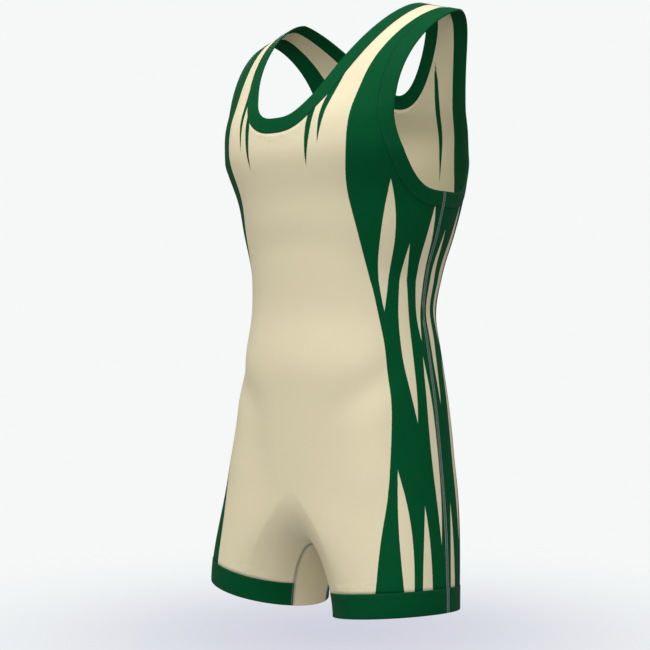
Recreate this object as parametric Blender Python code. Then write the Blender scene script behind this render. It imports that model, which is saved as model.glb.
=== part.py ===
"""Wrestling singlet on an unseen general figure, metres, +Z up, wearer facing -Y.

The origin lies midway between the shoulder straps, at the height of their undersides.
Every cloth piece is a wall between an outer face and an inner face, both found from
one garment surface: rings for the body, arches for the shoulders, tubes for the legs.
"""

import math
from collections import namedtuple

import bmesh
import bpy
import numpy as np

NAME = "wrestling_singlet"

# Cloth walls and seams.
PANEL_WALL = 0.0015
BAND_WALL = 0.0024
BAND_PROUD = 0.0004
SEAM_GAP = 0.0003
NECK_BAND_WIDTH = 0.0195
ARM_BAND_WIDTH = 0.0200
HEM_BAND_WIDTH = 0.0300

# Body rings, from the chest down to the hips.
Ring = namedtuple("Ring", "height half_width front_depth back_depth side_y squareness")
RINGS = (
    Ring(-0.186, 0.1638, 0.1382, 0.1439, 0.0025, 2.28),
    Ring(-0.211, 0.1600, 0.1378, 0.1405, 0.0072, 2.20),
    Ring(-0.238, 0.1538, 0.1350, 0.1350, 0.0118, 2.13),
    Ring(-0.284, 0.1440, 0.1257, 0.1220, 0.0104, 2.14),
    Ring(-0.334, 0.1307, 0.1142, 0.1076, 0.0067, 2.20),
    Ring(-0.394, 0.1302, 0.1060, 0.0962, 0.0015, 2.20),
    Ring(-0.422, 0.1345, 0.1080, 0.0950, 0.0008, 2.22),
    Ring(-0.450, 0.1398, 0.1096, 0.0952, 0.0000, 2.24),
    Ring(-0.494, 0.1480, 0.1068, 0.0972, -0.0012, 2.29),
    Ring(-0.544, 0.1550, 0.1040, 0.0995, -0.0027, 2.36),
    Ring(-0.604, 0.1653, 0.0975, 0.0980, -0.0082, 2.50),
)
CHEST = RINGS[0]
HIP = RINGS[-1]
PANEL_BASE_Z = -0.345

# Shoulder arches above the chest ring.
SHOULDER_TOP_Z = 0.0451
SHOULDER_SLOPE = 0.3032
SHOULDER_ROUND = 0.030
SHOULDER_Y = 0.0354
SHOULDER_HALF_WIDTH = 0.2392
SHOULDER_SQUARENESS = 1.571
CHEST_FULLNESS = 0.80
CHEST_FULLNESS_TOP = 0.36
LEVEL_SPAN = SHOULDER_TOP_Z - CHEST.height

# Legs, from the hip ring and the crotch curve down to the bottom edges.
CROTCH_Z = -0.690
CROTCH_SQUARENESS = 2.5
LEG_SIDE_SHARE = 0.60
LEG_CENTRE_X = 0.1075
LEG_RADIUS_X = 0.0775
LEG_RADIUS_Y = 0.0815
LEG_CENTRE_Y = -0.0268
HEM_Z = -0.760
HEM_RISE_OUT = 0.0115
HEM_RISE_FRONT = 0.0070
CROTCH_EASE = 0.0740
HEM_EASE = 0.90
TURN_START = 0.30
TURN_END = 0.90
EASE_START = 0.45
INSEAM_SHARE_TOP = 0.868
INSEAM_SHARE_BOTTOM = 0.866

# Cut edges: how low each starts, where it meets the shoulder, how square and full its curve is.
Edge = namedtuple("Edge", "low_share shoulder_x squareness fullness")
NECK_FRONT = Edge(0.122, 0.098, 2.857, 0.917)
NECK_BACK = Edge(0.340, 0.098, 1.865, 1.216)
ARM_FRONT = Edge(-0.134, 0.163, 3.603, 2.789)
ARM_BACK = Edge(-0.134, 0.163, 3.60, 0.95)

# Largest soft folds: place round the body and in height, reach, tilt in degrees and depth.
Fold = namedtuple("Fold", "around height half_length half_width tilt depth")
FOLDS = (
    Fold(0.70, -0.474, 0.056, 0.017, 35, -0.0036),
    Fold(0.36, -0.562, 0.070, 0.024, 84, -0.0032),
    Fold(0.72, -0.590, 0.085, 0.036, 88, 0.0034),
    Fold(0.15, -0.300, 0.080, 0.022, -4, -0.0016),
    Fold(1.10, -0.345, 0.060, 0.014, -12, -0.0020),
    Fold(1.90, -0.380, 0.070, 0.016, 10, -0.0028),
    Fold(2.55, -0.410, 0.080, 0.020, -10, -0.0026),
    Fold(2.45, -0.600, 0.055, 0.018, -30, -0.0018),
    Fold(2.00, -0.200, 0.050, 0.014, 40, -0.0022),
)

# Counts of the mesh: columns in each half panel and rows from top to bottom.
NECK_COLUMNS = 7
STRAP_COLUMNS = 5
ARM_COLUMNS = 6
CROTCH_COLUMNS = 4
STRAP_ROWS = 9
CHEST_ROWS = 8
WAIST_ROWS = 11
LEG_ROWS = 5
HEM_ROWS = 2
BAND_COLUMNS = 2
NECK_CORNER = 0.46
ARM_CORNER = 0.42

CURVE_SAMPLES = 240
OFFSET_STEPS = 12
STEP = 1e-4
WELD = 2e-5

UP = np.array([0.0, 0.0, 1.0])

GREEN = (0.0030, 0.0640, 0.0210, 1.0)
CREAM = (0.7600, 0.6700, 0.4700, 1.0)


def clear_scene():
    for obj in list(bpy.data.objects):
        bpy.data.objects.remove(obj, do_unlink=True)


def rounded(angle, squareness):
    """Across and up shares of a rounded square's outline at an angle from its top."""
    s, c = np.sin(angle), np.cos(angle)
    reach = (np.abs(s) ** squareness + np.abs(c) ** squareness) ** (-1 / squareness)
    return s * reach, c * reach


def ease(share):
    share = np.clip(share, 0, 1)
    return share * share * (3 - 2 * share)


def ring_at(z):
    """Ring sizes at a height, smooth through the table's rows, upright at the chest."""
    rows = np.array(RINGS)[::-1]
    heights, sizes = rows[:, 0], rows[:, 1:]
    slopes = np.gradient(sizes, heights, axis=0)
    slopes[-1] = 0
    i = np.clip(np.searchsorted(heights, z) - 1, 0, len(heights) - 2)
    span = (heights[i + 1] - heights[i])[..., None]
    t = (z - heights[i])[..., None] / span
    start = (1 + 2 * t) * (1 - t) ** 2 * sizes[i] + t * (1 - t) ** 2 * span * slopes[i]
    end = t * t * (3 - 2 * t) * sizes[i + 1] + t * t * (t - 1) * span * slopes[i + 1]
    return np.moveaxis(start + end, -1, 0)


def ring_point(phi, z):
    half_width, front, back, side_y, squareness = ring_at(z)
    s, c = rounded(phi, squareness)
    return np.stack([half_width * s, side_y - np.where(c > 0, front, back) * c, z], -1)


def arch_point(phi, rise):
    """Above the chest ring: rise runs from 0 there to a quarter turn at the shoulder line."""
    s, c = rounded(phi, CHEST.squareness)
    up = np.clip(rounded(rise, SHOULDER_SQUARENESS)[0], 0, 1)
    power = SHOULDER_SQUARENESS + CHEST_FULLNESS * (1 - ease(up / CHEST_FULLNESS_TOP))
    out = (1 - up**power) ** (1 / power)
    x = (CHEST.half_width + (SHOULDER_HALF_WIDTH - CHEST.half_width) * up**2) * s
    top = SHOULDER_TOP_Z - SHOULDER_SLOPE * np.sqrt(x**2 + SHOULDER_ROUND**2)
    depth = np.where(c > 0, CHEST.front_depth, CHEST.back_depth)
    y = CHEST.side_y + (SHOULDER_Y - CHEST.side_y) * up**2 - depth * c * out
    return np.stack([x, y, CHEST.height + (top - CHEST.height) * up], -1)


def body_point(phi, level):
    """Garment surface: level over 0 is a rise on the arches, under 0 a height on the rings."""
    phi, level = np.broadcast_arrays(np.asarray(phi, float), np.asarray(level, float))
    low = ring_point(phi, CHEST.height + np.minimum(level, 0) * LEVEL_SPAN)
    high = arch_point(phi, np.clip(level, 0, math.pi / 2))
    return np.where((level > 0)[..., None], high, low)


def level_of(z):
    return (z - CHEST.height) / LEVEL_SPAN


def crotch_point(turn):
    """Rounded square in the middle plane: turn 0 front centre, 1 lowest, 2 back centre."""
    s, c = rounded(turn * math.pi / 2, CROTCH_SQUARENESS)
    depth = np.where(c > 0, HIP.front_depth, HIP.back_depth)
    z = HIP.height - (HIP.height - CROTCH_Z) * s
    return np.stack([np.zeros_like(turn), HIP.side_y - depth * c, z], -1)


def unit(vectors):
    return vectors / np.linalg.norm(vectors, axis=-1, keepdims=True)


def leg_point(share, down, back):
    """Left leg: share 0 side seam to 1 crotch, down 0 hip ring to 1 bottom edge."""
    share, down = np.broadcast_arrays(np.asarray(share, float), np.asarray(down, float))
    side = -1.0 if back else 1.0
    hip_z = np.full(share.shape, HIP.height)
    phi = np.clip(1 - share / LEG_SIDE_SHARE, 0, 1) * math.pi / 2
    phi = math.pi - phi if back else phi
    ring = ring_point(phi, hip_z)
    ring_down = unit(ring - ring_point(phi, hip_z + STEP))
    around = unit(ring_point(phi + STEP * side, hip_z) - ring_point(phi - STEP * side, hip_z))
    turn = np.clip((share - LEG_SIDE_SHARE) / (1 - LEG_SIDE_SHARE), 0, 1)
    turn = 2 - turn if back else turn
    middle = crotch_point(turn)
    middle_down = unit(crotch_point(turn + STEP * side) - crotch_point(turn - STEP * side))
    inner = (share > LEG_SIDE_SHARE)[..., None]
    top = np.where(inner, middle, ring)
    sweep = (ease((share - TURN_START) / (TURN_END - TURN_START)) * math.pi / 2)[..., None]
    away = np.where(inner, np.array([1.0, 0.0, 0.0]), around)
    leave = np.cos(sweep) * np.where(inner, middle_down, ring_down) + np.sin(sweep) * away
    out, ahead = np.cos(math.pi * share), side * np.sin(math.pi * share)
    end_x = LEG_CENTRE_X + LEG_RADIUS_X * out
    end_y = LEG_CENTRE_Y - LEG_RADIUS_Y * ahead
    end_z = HEM_Z + HEM_RISE_OUT * out + HEM_RISE_FRONT * ahead
    end = np.stack([end_x, end_y, end_z], -1)
    span = np.linalg.norm(end - top, axis=-1)
    near = ease((share - EASE_START) / (1 - EASE_START))
    pull_top = (span * (1 - near) + CROTCH_EASE * near)[..., None]
    pull_end = (span * HEM_EASE)[..., None]
    t = down[..., None]
    start = (1 + 2 * t) * (1 - t) ** 2 * top + t * (1 - t) ** 2 * pull_top * leave
    finish = t * t * (3 - 2 * t) * end - t * t * (t - 1) * pull_end * UP
    return start + finish


def fold_depth(points):
    """How far the soft folds push the cloth out, the same on both sides of the figure."""
    x, y, z = np.abs(points[..., 0]), points[..., 1], points[..., 2]
    phi = np.arctan2(x / HIP.half_width, -y / HIP.front_depth)
    total = np.zeros_like(x)
    for fold in FOLDS:
        across = (phi - fold.around) * HIP.half_width * 0.85
        rise = z - fold.height
        tilt = math.radians(fold.tilt)
        along = (across * math.cos(tilt) + rise * math.sin(tilt)) / fold.half_length
        over = (rise * math.cos(tilt) - across * math.sin(tilt)) / fold.half_width
        total += fold.depth * np.exp(-(along**2) - over**2)
    return total


def surface_normal(surface, a, b, limit):
    """Unit normal of a surface function, by small steps that stay inside its limit."""
    a_low, a_high = a - STEP, a + STEP
    b_low, b_high = b - STEP, np.minimum(b + STEP, limit)
    run = surface(a_high, b) - surface(a_low, b)
    rise = (surface(a, b_high) - surface(a, b_low)) / (b_high - b_low)[..., None]
    return unit(np.cross(run, rise))


Patch = namedtuple("Patch", "points normals")


def body_patch(phi, level):
    phi, level = np.broadcast_arrays(np.asarray(phi, float), np.asarray(level, float))
    points = body_point(phi, level)
    normals = surface_normal(body_point, phi, level, math.pi / 2)
    return Patch(points, normals)


def leg_patch(share, down, back):
    share, down = np.broadcast_arrays(np.asarray(share, float), np.asarray(down, float))

    def surface(a, b):
        return leg_point(a, b, back)

    points = surface(share, down)
    normals = surface_normal(surface, share, down, 1.0)
    normals = normals if back else -normals
    flat = points[..., 0] < STEP
    normals[..., 0] = np.where(flat, 0.0, normals[..., 0])
    return Patch(points, unit(normals) * -1.0)


def edge_curve(edge, corner_at_side):
    """Dense (phi, level) samples of a front cut edge, from its lowest point to the shoulder."""
    t = np.linspace(0, 1, CURVE_SAMPLES)
    across, up = rounded(t * math.pi / 2, edge.squareness)
    left = np.clip(up, 0, 1) ** edge.fullness
    level = (edge.low_share + (1 - edge.low_share) * (1 - left)) * math.pi / 2
    share = (edge.shoulder_x / SHOULDER_HALF_WIDTH) ** CHEST.squareness
    top = math.atan((share / (1 - share)) ** (1 / CHEST.squareness))
    start = math.pi / 2 if corner_at_side else 0.0
    return start + (top - start) * across, level


def real(phi, back):
    """The angle round the body of a front angle, or of its mirror image on the back."""
    return math.pi - phi if back else phi


def moved_curve(phi, level, back, distance, toward_body):
    """The curve moved over the surface by a distance, square to its first run."""
    run = unit(np.gradient(body_point(real(phi, back), level), axis=0))
    flip = -1.0 if back else 1.0
    for _ in range(OFFSET_STEPS):
        here = real(phi, back)
        high = np.minimum(level + STEP, math.pi / 2)
        d_phi = flip * (body_point(here + STEP, level) - body_point(here - STEP, level)) / (2 * STEP)
        d_level = body_point(here, high) - body_point(here, level - STEP)
        d_level = d_level / (high - level + STEP)[..., None]
        aside = unit(np.cross(np.cross(d_phi, d_level), run)) * toward_body
        a, b, c = (d_phi * d_phi).sum(-1), (d_phi * d_level).sum(-1), (d_level * d_level).sum(-1)
        u, v = (aside * d_phi).sum(-1), (aside * d_level).sum(-1)
        step = distance / OFFSET_STEPS / (a * c - b * b)
        phi = phi + (u * c - v * b) * step
        level = np.minimum(level + (v * a - u * b) * step, math.pi / 2)
    return phi, level


def at_shares(edge, curve, back, shares):
    """Points of a curve that lie beside shares of the length of the cut edge."""
    points = body_point(real(edge[0], back), edge[1])
    steps = np.linalg.norm(np.diff(points, axis=0), axis=1)
    length = np.concatenate([[0], np.cumsum(steps)])
    where = length / length[-1]
    return np.interp(shares, where, curve[0]), np.interp(shares, where, curve[1])


def neck_shares():
    low = np.linspace(0, NECK_CORNER, NECK_COLUMNS + 1)
    return np.concatenate([low, np.linspace(NECK_CORNER, 1, STRAP_ROWS + 1)[1:]])


def arm_shares():
    low = np.linspace(0, ARM_CORNER, ARM_COLUMNS + 1)
    return np.concatenate([low, np.linspace(ARM_CORNER, 1, STRAP_ROWS + 1)[1:]])


def seam_curves(back):
    """Edge, band side and panel side of the neck and armhole seams, at the mesh's columns."""
    neck = edge_curve(NECK_BACK if back else NECK_FRONT, False)
    arm = edge_curve(ARM_BACK if back else ARM_FRONT, True)
    half = SEAM_GAP / 2
    widths = {"neck": (neck, NECK_BAND_WIDTH, -1.0, neck_shares())}
    widths["arm"] = (arm, ARM_BAND_WIDTH, 1.0, arm_shares())
    found = {}
    for key, (curve, width, toward_body, shares) in widths.items():
        found[key, "edge"] = at_shares(curve, curve, back, shares)
        for side, distance in (("band", width - half), ("panel", width + half)):
            moved = moved_curve(*curve, back, distance, toward_body)
            found[key, side] = at_shares(curve, held_ends(moved, key), back, shares)
    return found


def held_ends(curve, key):
    """The moved curve starts on the middle or side line and ends on the shoulder line."""
    phi, level = curve[0].copy(), curve[1].copy()
    phi[0] = 0.0 if key == "neck" else math.pi / 2
    level[-1] = math.pi / 2
    return phi, level


def between(start, end, count):
    """Rows of even steps from one row of numbers to another."""
    t = np.linspace(0, 1, count + 1)[:, None]
    return start + (end - start) * t


def side_cut(values, radius):
    """Keeps clear of the side or shoulder line by half a seam gap."""
    return np.minimum(values, math.pi / 2 - SEAM_GAP / 2 / radius)


def panel_grid(back):
    """(phi, level) grids of half a panel: the straps and the body below them."""
    seams = seam_curves(back)
    neck_phi, neck_level = seams["neck", "panel"]
    arm_phi, arm_level = seams["arm", "panel"]
    low = neck_phi[: NECK_COLUMNS + 1], neck_level[: NECK_COLUMNS + 1]
    side = arm_phi[: ARM_COLUMNS + 1][::-1], arm_level[: ARM_COLUMNS + 1][::-1]
    t = np.linspace(0, 1, STRAP_COLUMNS + 1)[1:-1]
    top_phi = np.concatenate([low[0], low[0][-1] + (side[0][0] - low[0][-1]) * t, side[0]])
    top_level = np.concatenate([low[1], low[1][-1] + (side[1][0] - low[1][-1]) * t, side[1]])
    base_phi = np.linspace(0, math.pi / 2, len(top_phi))
    base_level = np.full(len(top_phi), level_of(PANEL_BASE_Z))
    body_phi = between(top_phi, base_phi, CHEST_ROWS)
    body_level = between(top_level, base_level, CHEST_ROWS)
    hip_level = np.full(len(top_phi), level_of(HIP.height))
    low_phi = between(base_phi, base_phi, WAIST_ROWS)[1:]
    low_level = between(base_level, hip_level, WAIST_ROWS)[1:]
    body = np.concatenate([body_phi, low_phi]), np.concatenate([body_level, low_level])
    s = np.linspace(0, 1, STRAP_COLUMNS + 1)
    rise = slice(NECK_COLUMNS, None), slice(ARM_COLUMNS, None)
    strap_phi = neck_phi[rise[0], None] * (1 - s) + arm_phi[rise[1], None] * s
    strap_level = neck_level[rise[0], None] * (1 - s) + arm_level[rise[1], None] * s
    return body, (strap_phi, strap_level), base_phi


def inseam_share(down):
    return INSEAM_SHARE_TOP + (INSEAM_SHARE_BOTTOM - INSEAM_SHARE_TOP) * down


def leg_columns(base_phi):
    """Shares of the hip ring columns and of those on the crotch curve, side seam first."""
    ring = (1 - base_phi[::-1] / (math.pi / 2)) * LEG_SIDE_SHARE
    inner = np.linspace(LEG_SIDE_SHARE, INSEAM_SHARE_TOP, CROTCH_COLUMNS + 1)[1:]
    return np.concatenate([ring, inner])


def hem_top(share, back):
    """How far down each leg column the hem band starts."""
    down = np.linspace(0, 1, 200)[:, None]
    points = leg_point(np.broadcast_to(share, (200, len(share))), down, back)
    steps = np.linalg.norm(np.diff(points, axis=0), axis=2)
    left = steps[::-1].cumsum(0)
    found = [np.interp(HEM_BAND_WIDTH, left[:, k], 1 - down[1:, 0]) for k in range(len(share))]
    return np.array(found)


def leg_grid(base_phi, back):
    """(share, down) grids of half a panel's leg and of the hem band under it."""
    columns = leg_columns(base_phi)
    top = hem_top(columns * INSEAM_SHARE_BOTTOM / INSEAM_SHARE_TOP, back)
    leg_down = between(np.zeros(len(top)), top, LEG_ROWS)
    hem_down = between(top, np.ones(len(top)), HEM_ROWS)
    scale = inseam_share(leg_down) / INSEAM_SHARE_TOP, inseam_share(hem_down) / INSEAM_SHARE_TOP
    return (columns * scale[0], leg_down), (columns * scale[1], hem_down)


def whole(patch):
    """A half patch and its mirror image."""
    flip = np.array([-1.0, 1.0, 1.0])
    return [patch, Patch(patch.points * flip, patch.normals * flip)]


def outward(patch):
    """Normals turned to face away from the body's middle line."""
    centre = patch.points[..., :2] * 0.2
    away = ((patch.points[..., :2] - centre) * patch.normals[..., :2]).sum(-1).sum()
    return patch if away > 0 else Patch(patch.points, -patch.normals)


def grid_faces(rows, columns, first):
    r, c = np.meshgrid(np.arange(rows - 1), np.arange(columns - 1), indexing="ij")
    corner = first + r * columns + c
    quads = np.stack([corner, corner + 1, corner + columns + 1, corner + columns], -1)
    return quads.reshape(-1, 4).tolist()


def cloth_solid(name, patches, wall, proud, colour, collection):
    """One closed wall from patches that share their rims."""
    bm = bmesh.new()
    facing = bm.verts.layers.float_vector.new("facing")
    for patch in patches:
        folded = patch.points + patch.normals * (fold_depth(patch.points)[..., None] + proud)
        normals = patch.normals.reshape(-1, 3)
        verts = [bm.verts.new(p) for p in folded.reshape(-1, 3)]
        for vert, normal in zip(verts, normals):
            vert[facing] = normal
        for quad in grid_faces(*patch.points.shape[:2], 0):
            bm.faces.new([verts[k] for k in quad])
    bmesh.ops.remove_doubles(bm, verts=bm.verts, dist=WELD)
    bmesh.ops.recalc_face_normals(bm, faces=bm.faces)
    outer = list(bm.verts)
    inner = {v: bm.verts.new(v.co - v[facing] * wall) for v in outer}
    rims = [edge for edge in bm.edges if edge.is_boundary]
    for face in list(bm.faces):
        bm.faces.new([inner[v] for v in reversed(face.verts)])
    for edge in rims:
        a, b = edge.verts
        bm.faces.new([a, b, inner[b], inner[a]])
    bmesh.ops.recalc_face_normals(bm, faces=bm.faces)
    mesh = bpy.data.meshes.new(name)
    bm.to_mesh(mesh)
    bm.free()
    mesh.shade_smooth()
    mesh.set_sharp_from_angle(angle=math.radians(40))
    obj = bpy.data.objects.new(name, mesh)
    mesh.materials.append(cloth_material(name, colour))
    collection.objects.link(obj)


def cloth_material(name, colour):
    material = bpy.data.materials.new(name)
    material.use_nodes = True
    shader = material.node_tree.nodes["Principled BSDF"]
    shader.inputs["Base Color"].default_value = colour
    shader.inputs["Roughness"].default_value = 0.7
    return material


def build_panel(back, collection):
    (phi, level), (strap_phi, strap_level), base_phi = panel_grid(back)
    phi = side_cut(phi, CHEST.half_width)
    strap_level = side_cut(strap_level, CHEST.half_width / 2)
    patches = whole(outward(body_patch(real(phi, back), level)))
    patches += whole(outward(body_patch(real(strap_phi, back), strap_level)))
    (share, down), _ = leg_grid(base_phi, back)
    share = side_clear(share)
    share[:, -1] -= SEAM_GAP / 2 / LEG_RADIUS_X / math.pi
    down[-1] -= SEAM_GAP / 2 / (HIP.height - HEM_Z)
    patches += whole(outward(leg_patch(share, down, back)))
    name = "back_panel" if back else "front_panel"
    cloth_solid(name, patches, PANEL_WALL, 0.0, CREAM, collection)


def side_clear(share):
    """Leg columns with the first one off the side seam by as much as the body's is."""
    share = share.copy()
    gap = SEAM_GAP / 2 / CHEST.half_width / (math.pi / 2) * LEG_SIDE_SHARE
    share[:, 0] += gap
    return share


def build_neck_band(back, collection):
    seams = seam_curves(back)
    phi = between(seams["neck", "edge"][0], seams["neck", "band"][0], BAND_COLUMNS)
    level = between(seams["neck", "edge"][1], seams["neck", "band"][1], BAND_COLUMNS)
    level = side_cut(level, CHEST.half_width / 2)
    patches = whole(outward(body_patch(real(phi, back), level)))
    name = "neck_band_back" if back else "neck_band_front"
    cloth_solid(name, patches, BAND_WALL, BAND_PROUD, GREEN, collection)


def build_arm_bands(back, collection):
    seams = seam_curves(back)
    phi = between(seams["arm", "edge"][0], seams["arm", "band"][0], BAND_COLUMNS)
    level = between(seams["arm", "edge"][1], seams["arm", "band"][1], BAND_COLUMNS)
    phi = side_cut(phi, CHEST.half_width)
    level = side_cut(level, CHEST.half_width / 2)
    halves = whole(outward(body_patch(real(phi, back), level)))
    face = "back" if back else "front"
    for side, patch in zip(("left", "right"), halves):
        name = f"armhole_band_{face}_{side}"
        cloth_solid(name, [patch], BAND_WALL, BAND_PROUD, GREEN, collection)


def build_hem_bands(back, collection):
    base_phi = panel_grid(back)[2]
    _, (share, down) = leg_grid(base_phi, back)
    share = side_clear(share)
    share[:, -1] -= SEAM_GAP / 2 / LEG_RADIUS_X / math.pi
    down[0] += SEAM_GAP / 2 / (HIP.height - HEM_Z)
    halves = whole(outward(leg_patch(share, down, back)))
    face = "back" if back else "front"
    for side, patch in zip(("left", "right"), halves):
        name = f"hem_band_{face}_{side}"
        cloth_solid(name, [patch], BAND_WALL, BAND_PROUD, GREEN, collection)


def build_gusset(collection):
    """From one bottom edge over the crotch to the other, between the front and back inseams."""
    patches = []
    base_phi = panel_grid(False)[2]
    clear = SEAM_GAP / 2 / LEG_RADIUS_X / math.pi
    for back in (False, True):
        (_, leg_down), (_, hem_down) = leg_grid(base_phi, back)
        down = np.concatenate([leg_down[:, -1], hem_down[1:, -1]])
        other = leg_grid(base_phi, not back)
        middle = np.concatenate([other[0][1][:, -1], other[1][1][1:, -1]]) / 2 + down / 2
        s = np.linspace(0, 1, CROTCH_COLUMNS)
        seam = inseam_share(down) + clear
        share = seam[:, None] * (1 - s) + s
        rows = down[:, None] * (1 - s) + middle[:, None] * s
        patches += whole(leg_patch(share, rows, back))
    cloth_solid("crotch_gusset", patches, PANEL_WALL, 0.0, CREAM, collection)


def main():
    clear_scene()
    collection = bpy.data.collections.new(NAME)
    bpy.context.scene.collection.children.link(collection)
    for back in (False, True):
        build_panel(back, collection)
        build_neck_band(back, collection)
        build_arm_bands(back, collection)
        build_hem_bands(back, collection)
    build_gusset(collection)


main()
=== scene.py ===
"""Looks of a wrestling singlet, in the hollow form that it has on a general figure.

Metres, +Z up, wearer facing -Y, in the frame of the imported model. Each cloth piece is a
thin shell on the form of the solid that it stands for, worked out from the same sizes on
a finer grid, with its creases, seam threads, printed colours and knit.
"""

import logging
import math
from dataclasses import dataclass
from enum import Enum
from functools import reduce

import bmesh
import bpy
import numpy as np
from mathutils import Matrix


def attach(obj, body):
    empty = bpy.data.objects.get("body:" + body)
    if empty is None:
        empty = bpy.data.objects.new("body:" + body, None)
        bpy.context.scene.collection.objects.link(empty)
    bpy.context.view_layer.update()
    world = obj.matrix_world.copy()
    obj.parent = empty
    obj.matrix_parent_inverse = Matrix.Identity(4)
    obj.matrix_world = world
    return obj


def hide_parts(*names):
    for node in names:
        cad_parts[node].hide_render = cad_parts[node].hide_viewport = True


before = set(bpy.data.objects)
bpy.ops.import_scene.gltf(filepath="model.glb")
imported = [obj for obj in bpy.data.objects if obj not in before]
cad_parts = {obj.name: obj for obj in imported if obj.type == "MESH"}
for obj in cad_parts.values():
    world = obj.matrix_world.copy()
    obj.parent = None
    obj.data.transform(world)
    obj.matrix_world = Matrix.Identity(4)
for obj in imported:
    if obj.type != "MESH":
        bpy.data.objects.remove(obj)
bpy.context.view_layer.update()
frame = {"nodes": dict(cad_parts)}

LOG = logging.getLogger("singlet")
UP = np.array([0.0, 0.0, 1.0])
MIRROR = np.array([-1.0, 1.0, 1.0])
QUARTER = math.pi / 2
STEP = 1e-4
GIRTH = 0.40


class Face(Enum):
    """The half of the garment that a piece belongs to."""

    FRONT = "front"
    BACK = "back"

    @property
    def sign(self) -> float:
        """1 on the front and -1 on the back."""
        return 1.0 if self is Face.FRONT else -1.0

    def angle(self, phi: np.ndarray) -> np.ndarray:
        """The angle round the body of a front angle, or of its mirror image on the back."""
        return phi if self is Face.FRONT else math.pi - phi


class Opening(Enum):
    """An opening whose edge is cut in the body."""

    NECK = "neck"
    ARM = "arm"


class Side(Enum):
    """The wearer's side that a piece lies on."""

    LEFT = "left"
    RIGHT = "right"

    def placed(self, points: np.ndarray) -> np.ndarray:
        """Points of the left side, or their mirror image for the right."""
        return points if self is Side.LEFT else points * MIRROR


class PanelPart(Enum):
    """The grids that make up half a panel, in their order."""

    BODY = "body"
    STRAP = "strap"
    LEG = "leg"


@dataclass(frozen=True)
class Ring:
    """One level cut through the body: half width, depths before and behind, and squareness."""

    height: float
    half_width: float
    front_depth: float
    back_depth: float
    side_y: float
    squareness: float


@dataclass(frozen=True)
class CutEdge:
    """An opening's edge: how low it starts, where it meets the shoulder, how square and full."""

    low_share: float
    shoulder_x: float
    squareness: float
    fullness: float


@dataclass(frozen=True)
class Crease:
    """A soft trough (depth under 0) or ridge: place, reach, tilt in degrees and depth."""

    around: float
    height: float
    half_length: float
    half_width: float
    tilt: float
    depth: float


@dataclass
class Patch:
    """A grid of points with its outward normals and where they lie on the cloth."""

    points: np.ndarray
    normals: np.ndarray
    around: np.ndarray
    height: np.ndarray

    def mirrored(self) -> "Patch":
        """The same patch on the wearer's other side."""
        return Patch(self.points * MIRROR, self.normals * MIRROR, self.around, self.height)


def unit(vectors: np.ndarray) -> np.ndarray:
    """Vectors divided by their lengths."""
    return vectors / np.maximum(np.linalg.norm(vectors, axis=-1, keepdims=True), 1e-12)


def ease(share: np.ndarray) -> np.ndarray:
    """Smooth step from 0 to 1, three times the square less twice the cube."""
    share = np.clip(share, 0, 1)
    return share * share * (3 - 2 * share)


def rounded(angle: np.ndarray, squareness: float) -> tuple[np.ndarray, np.ndarray]:
    """A rounded square's outline at an angle from its top.

    Args:
        angle: angle from the top, in radians.
        squareness: the power n in |across|^n + |up|^n = 1.

    Returns:
        Its across and up shares.
    """
    s, c = np.sin(angle), np.cos(angle)
    reach = (np.abs(s) ** squareness + np.abs(c) ** squareness) ** (-1 / squareness)
    return s * reach, c * reach


def spread(start: np.ndarray, end: np.ndarray, count: int) -> np.ndarray:
    """Rows of even steps from one row of numbers to another."""
    t = np.linspace(0, 1, count + 1)[:, None]
    return start + (end - start) * t


def lengths(path: np.ndarray) -> np.ndarray:
    """How far along a path of points each of them lies."""
    steps = np.linalg.norm(np.diff(path, axis=0), axis=1)
    return np.concatenate([[0], np.cumsum(steps)])


def between(where: np.ndarray, places: np.ndarray, rows: np.ndarray) -> np.ndarray:
    """Coordinates at places between those of a table's rows."""
    return np.stack([np.interp(where, places, rows[:, k]) for k in range(3)], -1)


def tube_quads(count: int, sides: int) -> np.ndarray:
    """Four-sided faces between rings of points, each ring closed on itself."""
    r, c = np.meshgrid(np.arange(count - 1), np.arange(sides), indexing="ij")
    after = (c + 1) % sides
    loop = [r * sides + c, r * sides + after, (r + 1) * sides + after, (r + 1) * sides + c]
    return np.stack(loop, -1).reshape(-1, 4)


Line = tuple[np.ndarray, np.ndarray]


def mirrored_line(line: Line) -> Line:
    """A seam's points and normals on the wearer's other side."""
    return line[0] * MIRROR, line[1] * MIRROR


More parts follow.
